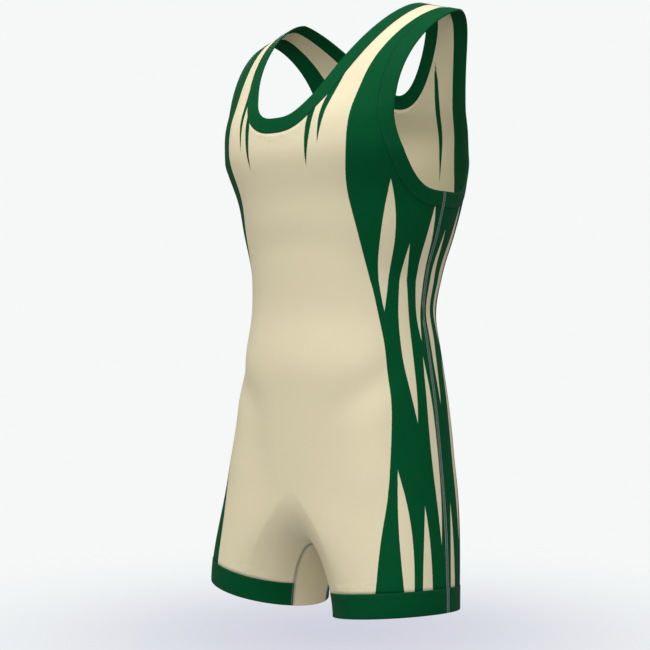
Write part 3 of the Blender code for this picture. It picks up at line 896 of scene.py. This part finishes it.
@dataclass
class PieceMaker:
    """Turns grids of points into finished pieces that ride on the garment."""

    body: str = "root"
    relax_rounds: int = 120
    relax_steps: tuple[float, float] = (0.5, -0.51)
    weld: float = 2e-5

    def sheet_object(
        self, name: str, patches: list[Patch], numbers: dict[str, list[np.ndarray]]
    ) -> bpy.types.Object:
        """One welded surface from patches that share their rims.

        Args:
            name: the piece's name.
            patches: grids of points.
            numbers: values for each patch's points, by attribute name.

        Returns:
            The object, with the values as attributes of its points.
        """
        points = np.concatenate([p.points.reshape(-1, 3) for p in patches])
        quads, first = [], 0
        for patch in patches:
            rows, columns = patch.points.shape[:2]
            r, c = np.meshgrid(np.arange(rows - 1), np.arange(columns - 1), indexing="ij")
            corner = first + r * columns + c
            loop = [corner, corner + 1, corner + columns + 1, corner + columns]
            quads.append(np.stack(loop, -1).reshape(-1, 4))
            first += rows * columns
        mesh = self.mesh_of(name, points, np.concatenate(quads))
        self.attach(mesh, {key: np.concatenate([v.ravel() for v in numbers[key]]) for key in numbers})
        bm = bmesh.new()
        bm.from_mesh(mesh)
        bmesh.ops.remove_doubles(bm, verts=bm.verts, dist=self.weld)
        bmesh.ops.recalc_face_normals(bm, faces=bm.faces)
        if self.inside_out(bm, patches):
            bmesh.ops.reverse_faces(bm, faces=bm.faces)
        bm.to_mesh(mesh)
        bm.free()
        self.relax(mesh)
        return self.object_of(name, mesh)

    def attach(self, mesh: bpy.types.Mesh, numbers: dict[str, np.ndarray]) -> None:
        """Stores numbers on a mesh's points, by attribute name."""
        for key, values in numbers.items():
            layer = mesh.attributes.new(key, "FLOAT", "POINT")
            layer.data.foreach_set("value", values.astype(np.float32))

    def relax(self, mesh: bpy.types.Mesh) -> None:
        """Softens a sheet's inner points and leaves its rims where they are.

        Each round moves every point half way to the mean of its neighbours and then a
        little further back, which takes out short bends and keeps the size.
        """
        points = np.empty(len(mesh.vertices) * 3, np.float32)
        mesh.vertices.foreach_get("co", points)
        points = points.reshape(-1, 3).astype(float)
        ends = np.empty(len(mesh.edges) * 2, np.int32)
        mesh.edges.foreach_get("vertices", ends)
        ends = ends.reshape(-1, 2)
        used = np.empty(len(mesh.loops), np.int32)
        mesh.loops.foreach_get("edge_index", used)
        rim = ends[np.bincount(used, minlength=len(ends)) < 2]
        free = np.ones((len(points), 1))
        free[rim.ravel()] = 0
        here, there = np.concatenate([ends, ends[:, ::-1]]).T
        number = np.bincount(here, minlength=len(points))[:, None]
        for _ in range(self.relax_rounds):
            for factor in self.relax_steps:
                sums = [np.bincount(here, points[there, k], len(points)) for k in range(3)]
                points += factor * free * (np.stack(sums, -1) / number - points)
        mesh.vertices.foreach_set("co", points.astype(np.float32).ravel())
        mesh.update()

    def inside_out(self, bm: bmesh.types.BMesh, patches: list[Patch]) -> bool:
        """Whether the welded faces look against the patches' outward normals."""
        bm.faces.ensure_lookup_table()
        face = bm.faces[len(bm.faces) // 3]
        points = np.concatenate([p.points.reshape(-1, 3) for p in patches])
        normals = np.concatenate([p.normals.reshape(-1, 3) for p in patches])
        near = np.argmin(((points - np.array(face.calc_center_median())) ** 2).sum(-1))
        return float(normals[near] @ np.array(face.normal)) < 0

    def face_out(self, mesh: bpy.types.Mesh) -> None:
        """Turns the faces of closed shapes outward."""
        bm = bmesh.new()
        bm.from_mesh(mesh)
        bmesh.ops.recalc_face_normals(bm, faces=bm.faces)
        bm.to_mesh(mesh)
        bm.free()

    def loft_mesh(self, name: str, rings: np.ndarray) -> bpy.types.Mesh:
        """A closed tube from rings of points: place along, place round and coordinate."""
        count, sides = rings.shape[:2]
        faces = tube_quads(count, sides).tolist()
        faces.append(list(range(sides))[::-1])
        faces.append([(count - 1) * sides + k for k in range(sides)])
        mesh = bpy.data.meshes.new(name)
        mesh.from_pydata(rings.reshape(-1, 3), [], faces)
        self.face_out(mesh)
        return mesh

    def joined(self, name: str, parts: list[bpy.types.Mesh]) -> bpy.types.Mesh:
        """One mesh of several, which are then dropped."""
        bm = bmesh.new()
        for part in parts:
            bm.from_mesh(part)
            bpy.data.meshes.remove(part)
        mesh = bpy.data.meshes.new(name)
        bm.to_mesh(mesh)
        bm.free()
        return mesh

    def mesh_of(self, name: str, points: np.ndarray, quads: np.ndarray) -> bpy.types.Mesh:
        """A mesh filled from arrays of points and four-sided faces."""
        mesh = bpy.data.meshes.new(name)
        mesh.vertices.add(len(points))
        mesh.vertices.foreach_set("co", points.astype(np.float32).ravel())
        mesh.loops.add(quads.size)
        mesh.loops.foreach_set("vertex_index", quads.astype(np.int32).ravel())
        mesh.polygons.add(len(quads))
        mesh.polygons.foreach_set("loop_start", np.arange(0, quads.size, 4, dtype=np.int32))
        mesh.update(calc_edges=True)
        return mesh

    def object_of(self, name: str, mesh: bpy.types.Mesh) -> bpy.types.Object:
        """A smooth shaded object in the scene, riding on the garment's body."""
        mesh.shade_smooth()
        obj = bpy.data.objects.new(name, mesh)
        bpy.context.scene.collection.objects.link(obj)
        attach(obj, self.body)
        return obj

    def thicken(self, obj: bpy.types.Object, wall: float) -> None:
        """Gives an open surface a wall on its inner side."""
        solid = obj.modifiers.new("wall", "SOLIDIFY")
        solid.thickness = wall
        solid.offset = -1.0

    def dress(
        self, obj: bpy.types.Object, finish: bpy.types.Material, slot: str, node: str = ""
    ) -> None:
        """Gives a piece its finish, and hides the solid that it stands for."""
        obj.data.materials.append(finish)
        if node:
            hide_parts(node)


@dataclass
class ClothPanels:
    """The front and back panels: one shell each, printed green along the sides.

    The field tables give height and the share of the way round where the green ends.
    """

    plan: CutPlan
    maker: PieceMaker
    wall: float = 0.0011
    field_front: tuple[tuple[float, float], ...] = (
        (0.300, 0.374),
        (0.150, 0.374),
        (0.060, 0.364),
        (0.000, 0.364),
        (-0.050, 0.376),
        (-0.110, 0.327),
        (-0.173, 0.260),
        (-0.240, 0.222),
        (-0.310, 0.226),
        (-0.366, 0.248),
        (-0.435, 0.283),
        (-0.492, 0.332),
        (-0.574, 0.410),
    )
    field_back: tuple[tuple[float, float], ...] = (
        (0.300, 0.374),
        (0.150, 0.385),
        (0.000, 0.395),
        (-0.040, 0.375),
        (-0.090, 0.310),
        (-0.150, 0.245),
        (-0.240, 0.195),
        (-0.310, 0.195),
        (-0.366, 0.215),
        (-0.435, 0.250),
        (-0.560, 0.330),
    )
    field_samples: int = 400
    field_blur: int = 20
    pucker_steps: float = 4.0
    row_steps: float = 1.5

    def field_edge(self, patch: Patch, face: Face) -> np.ndarray:
        """Metres inside the green side field, by a smooth curve through its table."""
        rows = self.field_front if face is Face.FRONT else self.field_back
        heights, shares = np.array(rows[::-1]).T
        fine = np.linspace(heights[0], heights[-1], self.field_samples)
        kernel = np.hanning(2 * self.field_blur + 1)
        padded = np.pad(np.interp(fine, heights, shares), self.field_blur, mode="edge")
        curve = np.convolve(padded, kernel / kernel.sum(), mode="valid")
        return (np.interp(patch.height, fine, curve) - patch.around) * GIRTH

    def near_seam(self, patch: Patch, part: PanelPart) -> np.ndarray:
        """How near each point is to a seam: 1 on it, falling to 0 over a few grid steps."""
        rows, columns = patch.points.shape[:2]
        r, c = np.indices((rows, columns))
        c_left = columns - 1 - c
        if part is PanelPart.BODY:
            off = np.minimum(c - self.plan.neck_columns, c_left - self.plan.arm_columns)
            steps = np.minimum(c_left, np.hypot(r * self.row_steps, np.maximum(off, 0)))
        else:
            steps = np.minimum(c, c_left)
        if part is PanelPart.LEG:
            steps = np.minimum(steps, rows - 1 - r)
        return np.exp(-((steps / self.pucker_steps) ** 2))

    def build(self, face: Face, finish: bpy.types.Material) -> bpy.types.Object:
        """One panel as a closed thin shell.

        Args:
            face: front or back.
            finish: the printed knit.

        Returns:
            The piece.
        """
        halves = self.plan.panel_patches(face)
        seams = [self.near_seam(patch, part) for part, patch in zip(PanelPart, halves)]
        for patch in halves:
            patch.points = self.plan.form.lifted(patch)
        patches = halves + [patch.mirrored() for patch in halves]
        numbers = {
            "around": [p.around * GIRTH * face.sign for p in patches],
            "height": [p.height for p in patches],
            "field_edge": [self.field_edge(p, face) for p in patches],
            "near_seam": seams + seams,
        }
        obj = self.maker.sheet_object(f"cloth_{face.value}", patches, numbers)
        self.maker.thicken(obj, self.wall)
        self.maker.dress(obj, finish, "body_cloth", f"{face.value}_panel")
        return obj


@dataclass
class EdgeBands:
    """Folded bands along the neck, armholes and leg openings, with rounded edges."""

    plan: CutPlan
    maker: PieceMaker
    finish: bpy.types.Material
    proud: float = 0.0005
    wall: float = 0.0021
    flat_columns: int = 8
    round_columns: int = 6
    along: int = 150
    knit_pitch: float = 0.003
    pucker_reach: float = 0.004

    def profile(self, width: float) -> tuple[np.ndarray, np.ndarray]:
        """A flat strip's outline: half a circle at the free edge, flat faces, a small end.

        Args:
            width: from the free edge to the seam.

        Returns:
            Distances from the free edge and heights over the cloth's surface, as a loop.
        """
        radius = self.wall / 2
        middle = self.proud - radius
        turn = np.linspace(-QUARTER, QUARTER, self.round_columns + 1)
        flat = np.linspace(radius, width - radius / 2, self.flat_columns + 1)[1:]
        across = [radius - radius * np.cos(turn), flat, [width, width], flat[::-1]]
        over = [radius * np.sin(turn), flat * 0 + radius, [radius / 2, -radius / 2], flat * 0 - radius]
        return np.concatenate(across), middle + np.concatenate(over)

    def piece(self, name: str, node: str, rings: np.ndarray, width: float) -> bpy.types.Object:
        """A band from its rings, with the knit's coordinates along and across it."""
        obj = self.maker.object_of(name, self.maker.loft_mesh(name, rings))
        across, _ = self.profile(width)
        count = len(rings)
        numbers = {
            "around": np.repeat(np.arange(count), len(across)) * self.knit_pitch,
            "height": np.tile(across, count),
            "near_seam": np.tile(np.exp(-(((width - across) / self.pucker_reach) ** 2)), count),
            "field_edge": np.zeros(count * len(across)),
        }
        self.maker.attach(obj.data, numbers)
        self.maker.dress(obj, self.finish, "band_cloth", node)
        return obj

    def rim_loft(self, opening: Opening, face: Face, width: float) -> np.ndarray:
        """Rings of a band along an opening's edge, from its low middle to the shoulder."""
        across, height = self.profile(width)
        shares = np.linspace(0, 1, self.along)
        distances, place = np.unique(np.round(across, 7), return_inverse=True)
        phi, level = self.plan.rim_lines(opening, face, distances, shares)
        radius = self.plan.form.chest.half_width
        phi, level = phi[:, place], self.plan.clear(level[:, place], radius / 2)
        if opening is Opening.ARM:
            phi = self.plan.clear(phi, radius)
        return self.plan.form.lifted(self.plan.form.body_patch(phi, level, face), height)

    def neck(self, face: Face) -> bpy.types.Object:
        """A neck band from one shoulder to the other."""
        half = self.rim_loft(Opening.NECK, face, self.plan.neck_band)
        rings = np.concatenate([(half * MIRROR)[::-1], half[1:]])
        names = f"neckline_{face.value}", f"neck_band_{face.value}"
        return self.piece(*names, rings, self.plan.neck_band)

    def arm(self, face: Face, side: Side) -> bpy.types.Object:
        """An armhole band from the side seam to the shoulder."""
        rings = side.placed(self.rim_loft(Opening.ARM, face, self.plan.arm_band))
        place = f"{face.value}_{side.value}"
        return self.piece(f"armhole_{place}", f"armhole_band_{place}", rings, self.plan.arm_band)

    def hem(self, face: Face, side: Side) -> bpy.types.Object:
        """A leg band from the side seam to the inseam."""
        plan = self.plan
        across, height = self.profile(plan.hem_band)
        share = np.linspace(0, plan.inseam_bottom, self.along)
        top = plan.hem_top(share, face)
        down = 1 - (1 - top[:, None]) * across / plan.hem_band
        shares = share[:, None] * plan.inseam_share(down) / plan.inseam_bottom
        rings = side.placed(plan.form.lifted(plan.form.leg_patch(shares, down, face), height))
        place = f"{face.value}_{side.value}"
        return self.piece(f"leg_edge_{place}", f"hem_band_{place}", rings, plan.hem_band)


@dataclass
class CrotchPiece:
    """The piece between the legs, from one inner hem over the crotch to the other."""

    plan: CutPlan
    maker: PieceMaker
    wall: float = 0.0011
    rows: int = 60
    columns: int = 16

    def build(self, finish: bpy.types.Material) -> bpy.types.Object:
        """The piece as a closed thin shell in plain cream."""
        plan, form = self.plan, self.plan.form
        clear = plan.seam_gap / 2 / form.leg_radius_x / math.pi
        down = np.linspace(0, 1, self.rows + 1)[:, None]
        s = np.linspace(0, 1, self.columns + 1)
        share = (plan.inseam_share(down) + clear) * (1 - s) + s
        patches = []
        for face in Face:
            patch = form.leg_patch(share, down, face)
            patch.points = form.lifted(patch)
            patches += [patch, patch.mirrored()]
        numbers = {
            "around": [p.around * GIRTH for p in patches],
            "height": [p.height for p in patches],
            "field_edge": [np.full(p.around.shape, -1.0) for p in patches],
            "near_seam": [np.zeros(p.around.shape) for p in patches],
        }
        obj = self.maker.sheet_object("cloth_crotch", patches, numbers)
        self.maker.thicken(obj, self.wall)
        self.maker.dress(obj, finish, "body_cloth", "crotch_gusset")
        return obj


@dataclass
class FlatSeams:
    """Flat seams: a zigzag of thread between two straight rows."""

    plan: CutPlan
    maker: PieceMaker
    width: float = 0.0046
    pitch: float = 0.0020
    radius: float = 0.00018
    lift: float = 0.00012
    row_share: float = 0.92
    row_lift: float = 0.6
    sides: int = 5
    band_lift: float = 0.0005
    band_run: float = 0.0015
    arm_overlap: float = 0.0006
    leg_end: float = 0.997
    strap_end: float = 0.002
    body_samples: int = 240
    leg_samples: int = 160
    inseam_samples: int = 200
    strap_samples: int = 80

    def zigzag(self, centre: np.ndarray, normals: np.ndarray) -> np.ndarray:
        """Rings of thread that swings across a seam as a triangle wave.

        Args:
            centre: points along the seam.
            normals: the cloth's outward normals there.

        Returns:
            Rings of points along the thread.
        """
        length = lengths(centre)
        count = max(8, int(length[-1] / self.pitch) * 4)
        t = np.linspace(0, length[-1], count)
        points, out = between(t, length, centre), unit(between(t, length, normals))
        aside = unit(np.cross(out, unit(np.gradient(points, axis=0))))
        wave = np.array([0.0, 1.0, 0.0, -1.0])[np.arange(count) % 4] * self.width / 2
        return self.tube(points + aside * wave[:, None] + out * self.lift, out)

    def tube(self, path: np.ndarray, out: np.ndarray) -> np.ndarray:
        """Circles of the thread's radius round each point of a path."""
        run = unit(np.gradient(path, axis=0))
        aside = unit(np.cross(out, run))
        up = np.cross(run, aside)
        turn = np.linspace(0, 2 * math.pi, self.sides, endpoint=False)[:, None]
        ring = np.cos(turn) * aside[:, None] + np.sin(turn) * up[:, None]
        return path[:, None] + ring * self.radius

    def rows(self, centre: np.ndarray, normals: np.ndarray) -> list[np.ndarray]:
        """The two straight rows of thread beside the seam."""
        aside = unit(np.cross(normals, unit(np.gradient(centre, axis=0))))
        reach = self.width / 2 * self.row_share
        lifted = centre + normals * (self.lift + self.radius * self.row_lift)
        return [self.tube(lifted + aside * reach * side, normals) for side in (-1.0, 1.0)]

    def piece(self, name: str, lines: list[Line], finish: bpy.types.Material) -> bpy.types.Object:
        """One piece of thread work along several seam lines."""
        parts = [
            self.maker.loft_mesh("thread", rings)
            for line in lines
            for rings in (self.zigzag(*line), *self.rows(*line))
        ]
        obj = self.maker.object_of(name, self.maker.joined(name, parts))
        self.maker.dress(obj, finish, "band_cloth")
        return obj

    def over_band(self, distance: np.ndarray, width: float) -> np.ndarray:
        """Extra height where a seam runs over a band: a smooth step at the band's seam."""
        return self.band_lift * ease((width - distance) / self.band_run + 0.5)

    def side_line(self) -> Line:
        """The left side seam, from under the arm to the bottom edge."""
        form, plan = self.plan.form, self.plan
        start = plan.arm_front.low_share * QUARTER - self.arm_overlap / form.level_span
        level = np.linspace(start, form.level_of(form.hip.height), self.body_samples)
        body = form.body_patch(np.array(QUARTER), level, Face.FRONT)
        down = np.linspace(0, self.leg_end, self.leg_samples)
        leg = form.leg_patch(np.array(0.0), down, Face.FRONT)
        points = np.concatenate([body.points, leg.points[1:]])
        normals = np.concatenate([body.normals, leg.normals[1:]])
        length = lengths(points)
        lift = self.over_band(length, plan.arm_band)
        lift = lift + self.over_band(length[-1] - length, plan.hem_band)
        return points + normals * (lift + form.crease_depth(points))[:, None], normals

    def inseam_line(self, face: Face) -> Line:
        """A left inseam from the crotch curve to the bottom edge."""
        plan = self.plan
        down = np.linspace(1 - self.leg_end, self.leg_end, self.inseam_samples)
        patch = plan.form.leg_patch(plan.inseam_share(down), down, face)
        length = lengths(patch.points)
        lift = 0.5 * self.over_band(length[-1] - length, plan.hem_band)
        return plan.form.lifted(patch, lift), patch.normals

    def shoulder_line(self) -> Line:
        """The left shoulder seam across the strap, from the neck edge to the armhole edge."""
        form, plan = self.plan.form, self.plan
        neck, _ = plan.edge_curve(plan.neck_front, False)
        arm, _ = plan.edge_curve(plan.arm_front, True)
        ends = neck[-1] + self.strap_end, arm[-1] - self.strap_end
        phi = np.linspace(*ends, self.strap_samples)
        patch = form.body_patch(phi, np.array(QUARTER - 5 * STEP), Face.FRONT)
        length = lengths(patch.points)
        lift = self.over_band(length, plan.neck_band)
        lift = lift + self.over_band(length[-1] - length, plan.arm_band)
        return patch.points + patch.normals * lift[:, None], patch.normals


@dataclass
class CoverStitches:
    """Short stitches in rows along the bands' seams."""

    plan: CutPlan
    maker: PieceMaker
    pitch: float = 0.0030
    length: float = 0.0024
    radius: float = 0.00020
    rows: tuple[float, float] = (0.0016, 0.0046)
    lift: float = 0.00052
    samples: int = 260
    bar_places: tuple[float, ...] = (-1.0, -0.55, 0.55, 1.0)
    bar_sizes: tuple[float, ...] = (0.45, 1.0, 1.0, 0.45)
    bar_heights: tuple[float, ...] = (-0.8, 0.3, 0.3, -0.8)

    def stitches(self, line: np.ndarray, normals: np.ndarray) -> tuple[np.ndarray, np.ndarray]:
        """Short low bars end to end along a line, each a tube of four square rings.

        Args:
            line: points along the row.
            normals: the cloth's outward normals there.

        Returns:
            Points and faces of all the bars.
        """
        along = lengths(line)
        count = max(2, int(along[-1] / self.pitch))
        t = (np.arange(count) + 0.5) * along[-1] / count
        centre = between(t, along, line)
        out = unit(between(t, along, normals))
        run = unit(between(t + 2 * STEP, along, line) - between(t - 2 * STEP, along, line))
        aside = unit(np.cross(out, run))
        place = np.array(self.bar_places)[:, None, None] * self.length / 2
        size = np.array(self.bar_sizes)[:, None] * self.radius
        low = np.array(self.bar_heights)[:, None] * self.radius
        turn = np.linspace(0, 2 * math.pi, 4, endpoint=False)
        centre, run, aside, out = (v[:, None, None] for v in (centre, run, aside, out))
        points = centre + run * place + aside * (np.cos(turn) * size)[..., None]
        points = points + out * (np.sin(turn) * size + low)[..., None]
        base = np.concatenate([tube_quads(4, 4), [[3, 2, 1, 0], [12, 13, 14, 15]]])
        faces = base + (np.arange(count) * 16)[:, None, None]
        return points.reshape(-1, 3), faces.reshape(-1, 4)

    def piece(self, name: str, lines: list[Line], finish: bpy.types.Material) -> bpy.types.Object:
        """One piece of stitches along several rows."""
        points, faces, first = [], [], 0
        for line in lines:
            bars, sides = self.stitches(*line)
            points.append(bars)
            faces.append(sides + first)
            first += len(bars)
        mesh = self.maker.mesh_of(name, np.concatenate(points), np.concatenate(faces))
        self.maker.face_out(mesh)
        obj = self.maker.object_of(name, mesh)
        self.maker.dress(obj, finish, "band_cloth")
        return obj

    def rim_rows(self, opening: Opening, face: Face) -> list[Line]:
        """Rows along an opening's band, on the left half."""
        form, plan = self.plan.form, self.plan
        width = plan.neck_band if opening is Opening.NECK else plan.arm_band
        distances = np.array([width - row for row in self.rows])
        shares = np.linspace(0.004, 0.994, self.samples)
        phi, level = plan.rim_lines(opening, face, distances, shares)
        level = np.minimum(level, QUARTER - 10 * STEP)
        found = [form.body_patch(phi[:, k], level[:, k], face) for k in range(len(distances))]
        return [(form.lifted(patch, self.lift), patch.normals) for patch in found]

    def hem_rows(self, face: Face) -> list[Line]:
        """Rows along the left leg's band."""
        form, plan = self.plan.form, self.plan
        share = np.linspace(0.01, plan.inseam_bottom - 0.01, self.samples)
        top = plan.hem_top(share, face)
        downs = [top + (1 - top) * row / plan.hem_band for row in self.rows]
        found = [form.leg_patch(share, down, face) for down in downs]
        return [(form.lifted(patch, self.lift), patch.normals) for patch in found]


@dataclass(frozen=True)
class Softbox:
    """A square white lamp that looks at the garment's middle."""

    name: str
    place: tuple[float, float, float]
    size: float
    watts: float


@dataclass
class Studio:
    """Camera, pale floor that runs into the backdrop with a painted shadow under the garment, and soft
    lamps.
    """

    eye: tuple[float, float, float] = (1.01189, -1.22126, -0.38592)
    view_turn: float = 39.6425
    lens: float = 66.453
    shift: tuple[float, float] = (-0.02897, -0.01905)
    background: Colour = (245, 248, 247)
    sky: Colour = (250, 250, 255)
    sky_strength: float = 0.40
    floor_z: float = -0.80
    floor_radii: tuple[float, ...] = (0.2, 0.6, 1.2, 2.4, 6.0, 12.0)
    floor_sides: int = 96
    # painted shadow on the floor: its lavender colour, and its place, width and depth in metres
    painted_shadow: Colour = (208, 209, 222)
    painted_shadow_place: float = 0.02
    painted_shadow_width: float = 0.37
    painted_shadow_depth: float = 0.27
    grain_scale: float = 60.0
    grain_change: float = 0.01
    middle: tuple[float, float, float] = (0.0, 0.0, -0.36)
    lamps: tuple[Softbox, ...] = (
        Softbox("key", (0.46, -1.00, 1.98), 1.6, 54.0),
        Softbox("front", (1.6, -1.9, 0.0), 1.2, 13.0),
        Softbox("left", (-1.3, -1.9, 0.4), 1.2, 10.0),
        Softbox("back", (-1.7, 2.1, 0.6), 1.4, 38.0),
    )

    def placed(self, name: str, data: bpy.types.ID) -> bpy.types.Object:
        """A new object in the scene."""
        obj = bpy.data.objects.new(name, data)
        bpy.context.scene.collection.objects.link(obj)
        return obj

    def camera(self) -> None:
        """The camera at the photograph's angle, level, with a small shift."""
        data = bpy.data.cameras.new("camera")
        data.lens, data.sensor_width = self.lens, 36.0
        data.shift_x, data.shift_y = self.shift
        data.clip_start, data.clip_end = 0.05, 50.0
        obj = self.placed("camera", data)
        obj.location = self.eye
        obj.rotation_euler = (QUARTER, 0.0, math.radians(self.view_turn))
        bpy.context.scene.camera = obj

    def lights(self) -> None:
        """The soft lamps, each turned to the garment's middle."""
        for lamp in self.lamps:
            data = bpy.data.lights.new(lamp.name, "AREA")
            data.shape, data.size, data.energy = "SQUARE", lamp.size, lamp.watts
            obj = self.placed(lamp.name, data)
            obj.location = lamp.place
            look = np.array(self.middle) - np.array(lamp.place)
            yaw = math.atan2(look[1], look[0]) - QUARTER
            pitch = math.atan2(look[2], math.hypot(look[0], look[1])) + QUARTER
            obj.rotation_euler = (pitch, 0.0, yaw)

    def world(self) -> None:
        """Even pale light, and the photograph's plain background where the camera looks."""
        world = bpy.data.worlds.new("studio")
        bpy.context.scene.world = world
        world.use_nodes = True
        nodes, links = world.node_tree.nodes, world.node_tree.links
        nodes.clear()
        kinds = ("Background", "Background", "LightPath", "MixShader", "OutputWorld")
        soft, seen, path, mix, out = (nodes.new(f"ShaderNode{kind}") for kind in kinds)
        seen.inputs["Color"].default_value = linear(self.background)
        soft.inputs["Color"].default_value = linear(self.sky)
        soft.inputs["Strength"].default_value = self.sky_strength
        links.new(path.outputs["Is Camera Ray"], mix.inputs[0])
        links.new(soft.outputs[0], mix.inputs[1])
        links.new(seen.outputs[0], mix.inputs[2])
        links.new(mix.outputs[0], out.inputs["Surface"])

    def floor(self) -> None:
        """A wide disc under the garment, whose rim melts into the background."""
        turn = np.linspace(0, 2 * math.pi, self.floor_sides, endpoint=False)
        radii = np.array(self.floor_radii)[:, None]
        x, y = radii * np.cos(turn), radii * np.sin(turn)
        points = np.stack([x, y, np.full_like(x, self.floor_z)], -1).reshape(-1, 3)
        faces = tube_quads(len(radii), self.floor_sides)[:, ::-1].tolist()
        mesh = bpy.data.meshes.new("studio_floor")
        mesh.from_pydata(points, [], [*faces, list(range(self.floor_sides))])
        mesh.materials.append(self.paper())
        obj = self.placed("studio_floor", mesh)
        obj.visible_diffuse = obj.visible_glossy = False

    def paper(self) -> bpy.types.Material:
        """Background paper whose colour sinks to lavender in a painted shadow, a soft pool of painted
        shade under the garment.

        The painted shadow is a bell curve of the distances toward the camera and across its view.
        """
        book = new_material("studio_paper")
        parts = book.node("ShaderNodeSeparateXYZ", Vector=book.place())
        x, y = book.out(parts, "X"), book.out(parts, "Y")
        turn = math.radians(self.view_turn)
        near = x * math.sin(turn) - y * math.cos(turn) - self.painted_shadow_place
        aside = x * math.cos(turn) + y * math.sin(turn)
        near, aside = near * (1 / self.painted_shadow_depth), aside * (1 / self.painted_shadow_width)
        grain = (book.noise(book.place(), self.grain_scale, 2.0) - 0.5) * self.grain_change
        # painted shadow: the floor's colour sinks to lavender in a bell under the garment
        factor = book.math("EXPONENT", (near * near + aside * aside) * -1.0) + grain
        colour = book.mix(factor, linear(self.background), linear(self.painted_shadow))
        shader = book.node("ShaderNodeEmission", Color=colour, Strength=1.0)
        return surface_output(book, shader)

    def build(self) -> None:
        """Everything round the garment."""
        view = bpy.context.scene.view_settings
        view.view_transform = "Standard"
        view.look = "None"
        self.camera()
        self.world()
        self.lights()
        self.floor()


CREAM = (224, 213, 179)
GREEN = (0, 76, 40)
GREY_THREAD = (160, 164, 166)
GREEN_THREAD = (6, 70, 40)
CREAM_SPINDLES = tuple(
    Spindle(around, height, half_length, half_width, lean)
    for around, lean, half_width, places in (
        (0.016, 0.001, 0.0092, ((-0.150, 0.085), (-0.370, 0.115))),
        (0.051, 0.002, 0.0112, ((-0.225, 0.110), (-0.560, 0.125))),
        (0.090, 0.003, 0.0110, ((-0.118, 0.080), (-0.500, 0.110))),
        (-0.020, -0.001, 0.0088, ((-0.205, 0.110), (-0.560, 0.125))),
        (-0.057, -0.002, 0.0105, ((-0.150, 0.090), (-0.370, 0.115))),
    )
    for height, half_length in places
)
GREEN_SPINDLES = (
    Spindle(0.176, 0.085, 0.080, 0.0036, -0.004),
    Spindle(0.192, 0.040, 0.062, 0.0034, -0.004),
    Spindle(-0.184, 0.085, 0.105, 0.0040, 0.003),
)


def dress(frame_data: dict) -> None:
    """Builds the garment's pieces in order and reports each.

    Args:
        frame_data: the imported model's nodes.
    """
    plan, maker = CutPlan(BodyForm()), PieceMaker()
    printed = KnitCloth("printed_knit", CREAM, GREEN, CREAM_SPINDLES, GREEN_SPINDLES).make()
    plain = KnitCloth("cream_knit", CREAM).make()
    band = KnitCloth("band_knit", GREEN, roughness=0.55).make()
    grey = SeamThread("grey_thread", GREY_THREAD).make()
    toned = SeamThread("green_thread", GREEN_THREAD).make()

    panels = ClothPanels(plan, maker)
    for face in Face:
        piece = panels.build(face, printed)
        report(piece)
    piece = CrotchPiece(plan, maker).build(plain)
    report(piece)
    bands = EdgeBands(plan, maker, band)
    for face in Face:
        piece = bands.neck(face)
        report(piece)
        for side in Side:
            piece = bands.arm(face, side)
            report(piece)
            piece = bands.hem(face, side)
            report(piece)

    seams = FlatSeams(plan, maker)
    halves = [seams.side_line(), *map(seams.inseam_line, Face), seams.shoulder_line()]
    lines = [line for half in halves for line in (half, mirrored_line(half))]
    report(seams.piece("flat_seams", lines, grey))

    stitches = CoverStitches(plan, maker)
    rows = []
    for face in Face:
        found = stitches.rim_rows(Opening.NECK, face) + stitches.rim_rows(Opening.ARM, face)
        found += stitches.hem_rows(face)
        rows += found + [mirrored_line(row) for row in found]
    report(stitches.piece("band_stitches", rows, toned))
    LOG.info("pieces stand for %d solids", len(frame_data["nodes"]))


def report(piece: bpy.types.Object) -> None:
    """Logs a finished piece."""
    LOG.info("%s: %d faces", piece.name, len(piece.data.polygons))


def main() -> None:
    """Sets the studio and builds the singlet."""
    logging.basicConfig(level=logging.INFO, format="%(name)s: %(message)s")
    Studio().build()
    dress(frame)


if __name__ == "__main__":
    main()
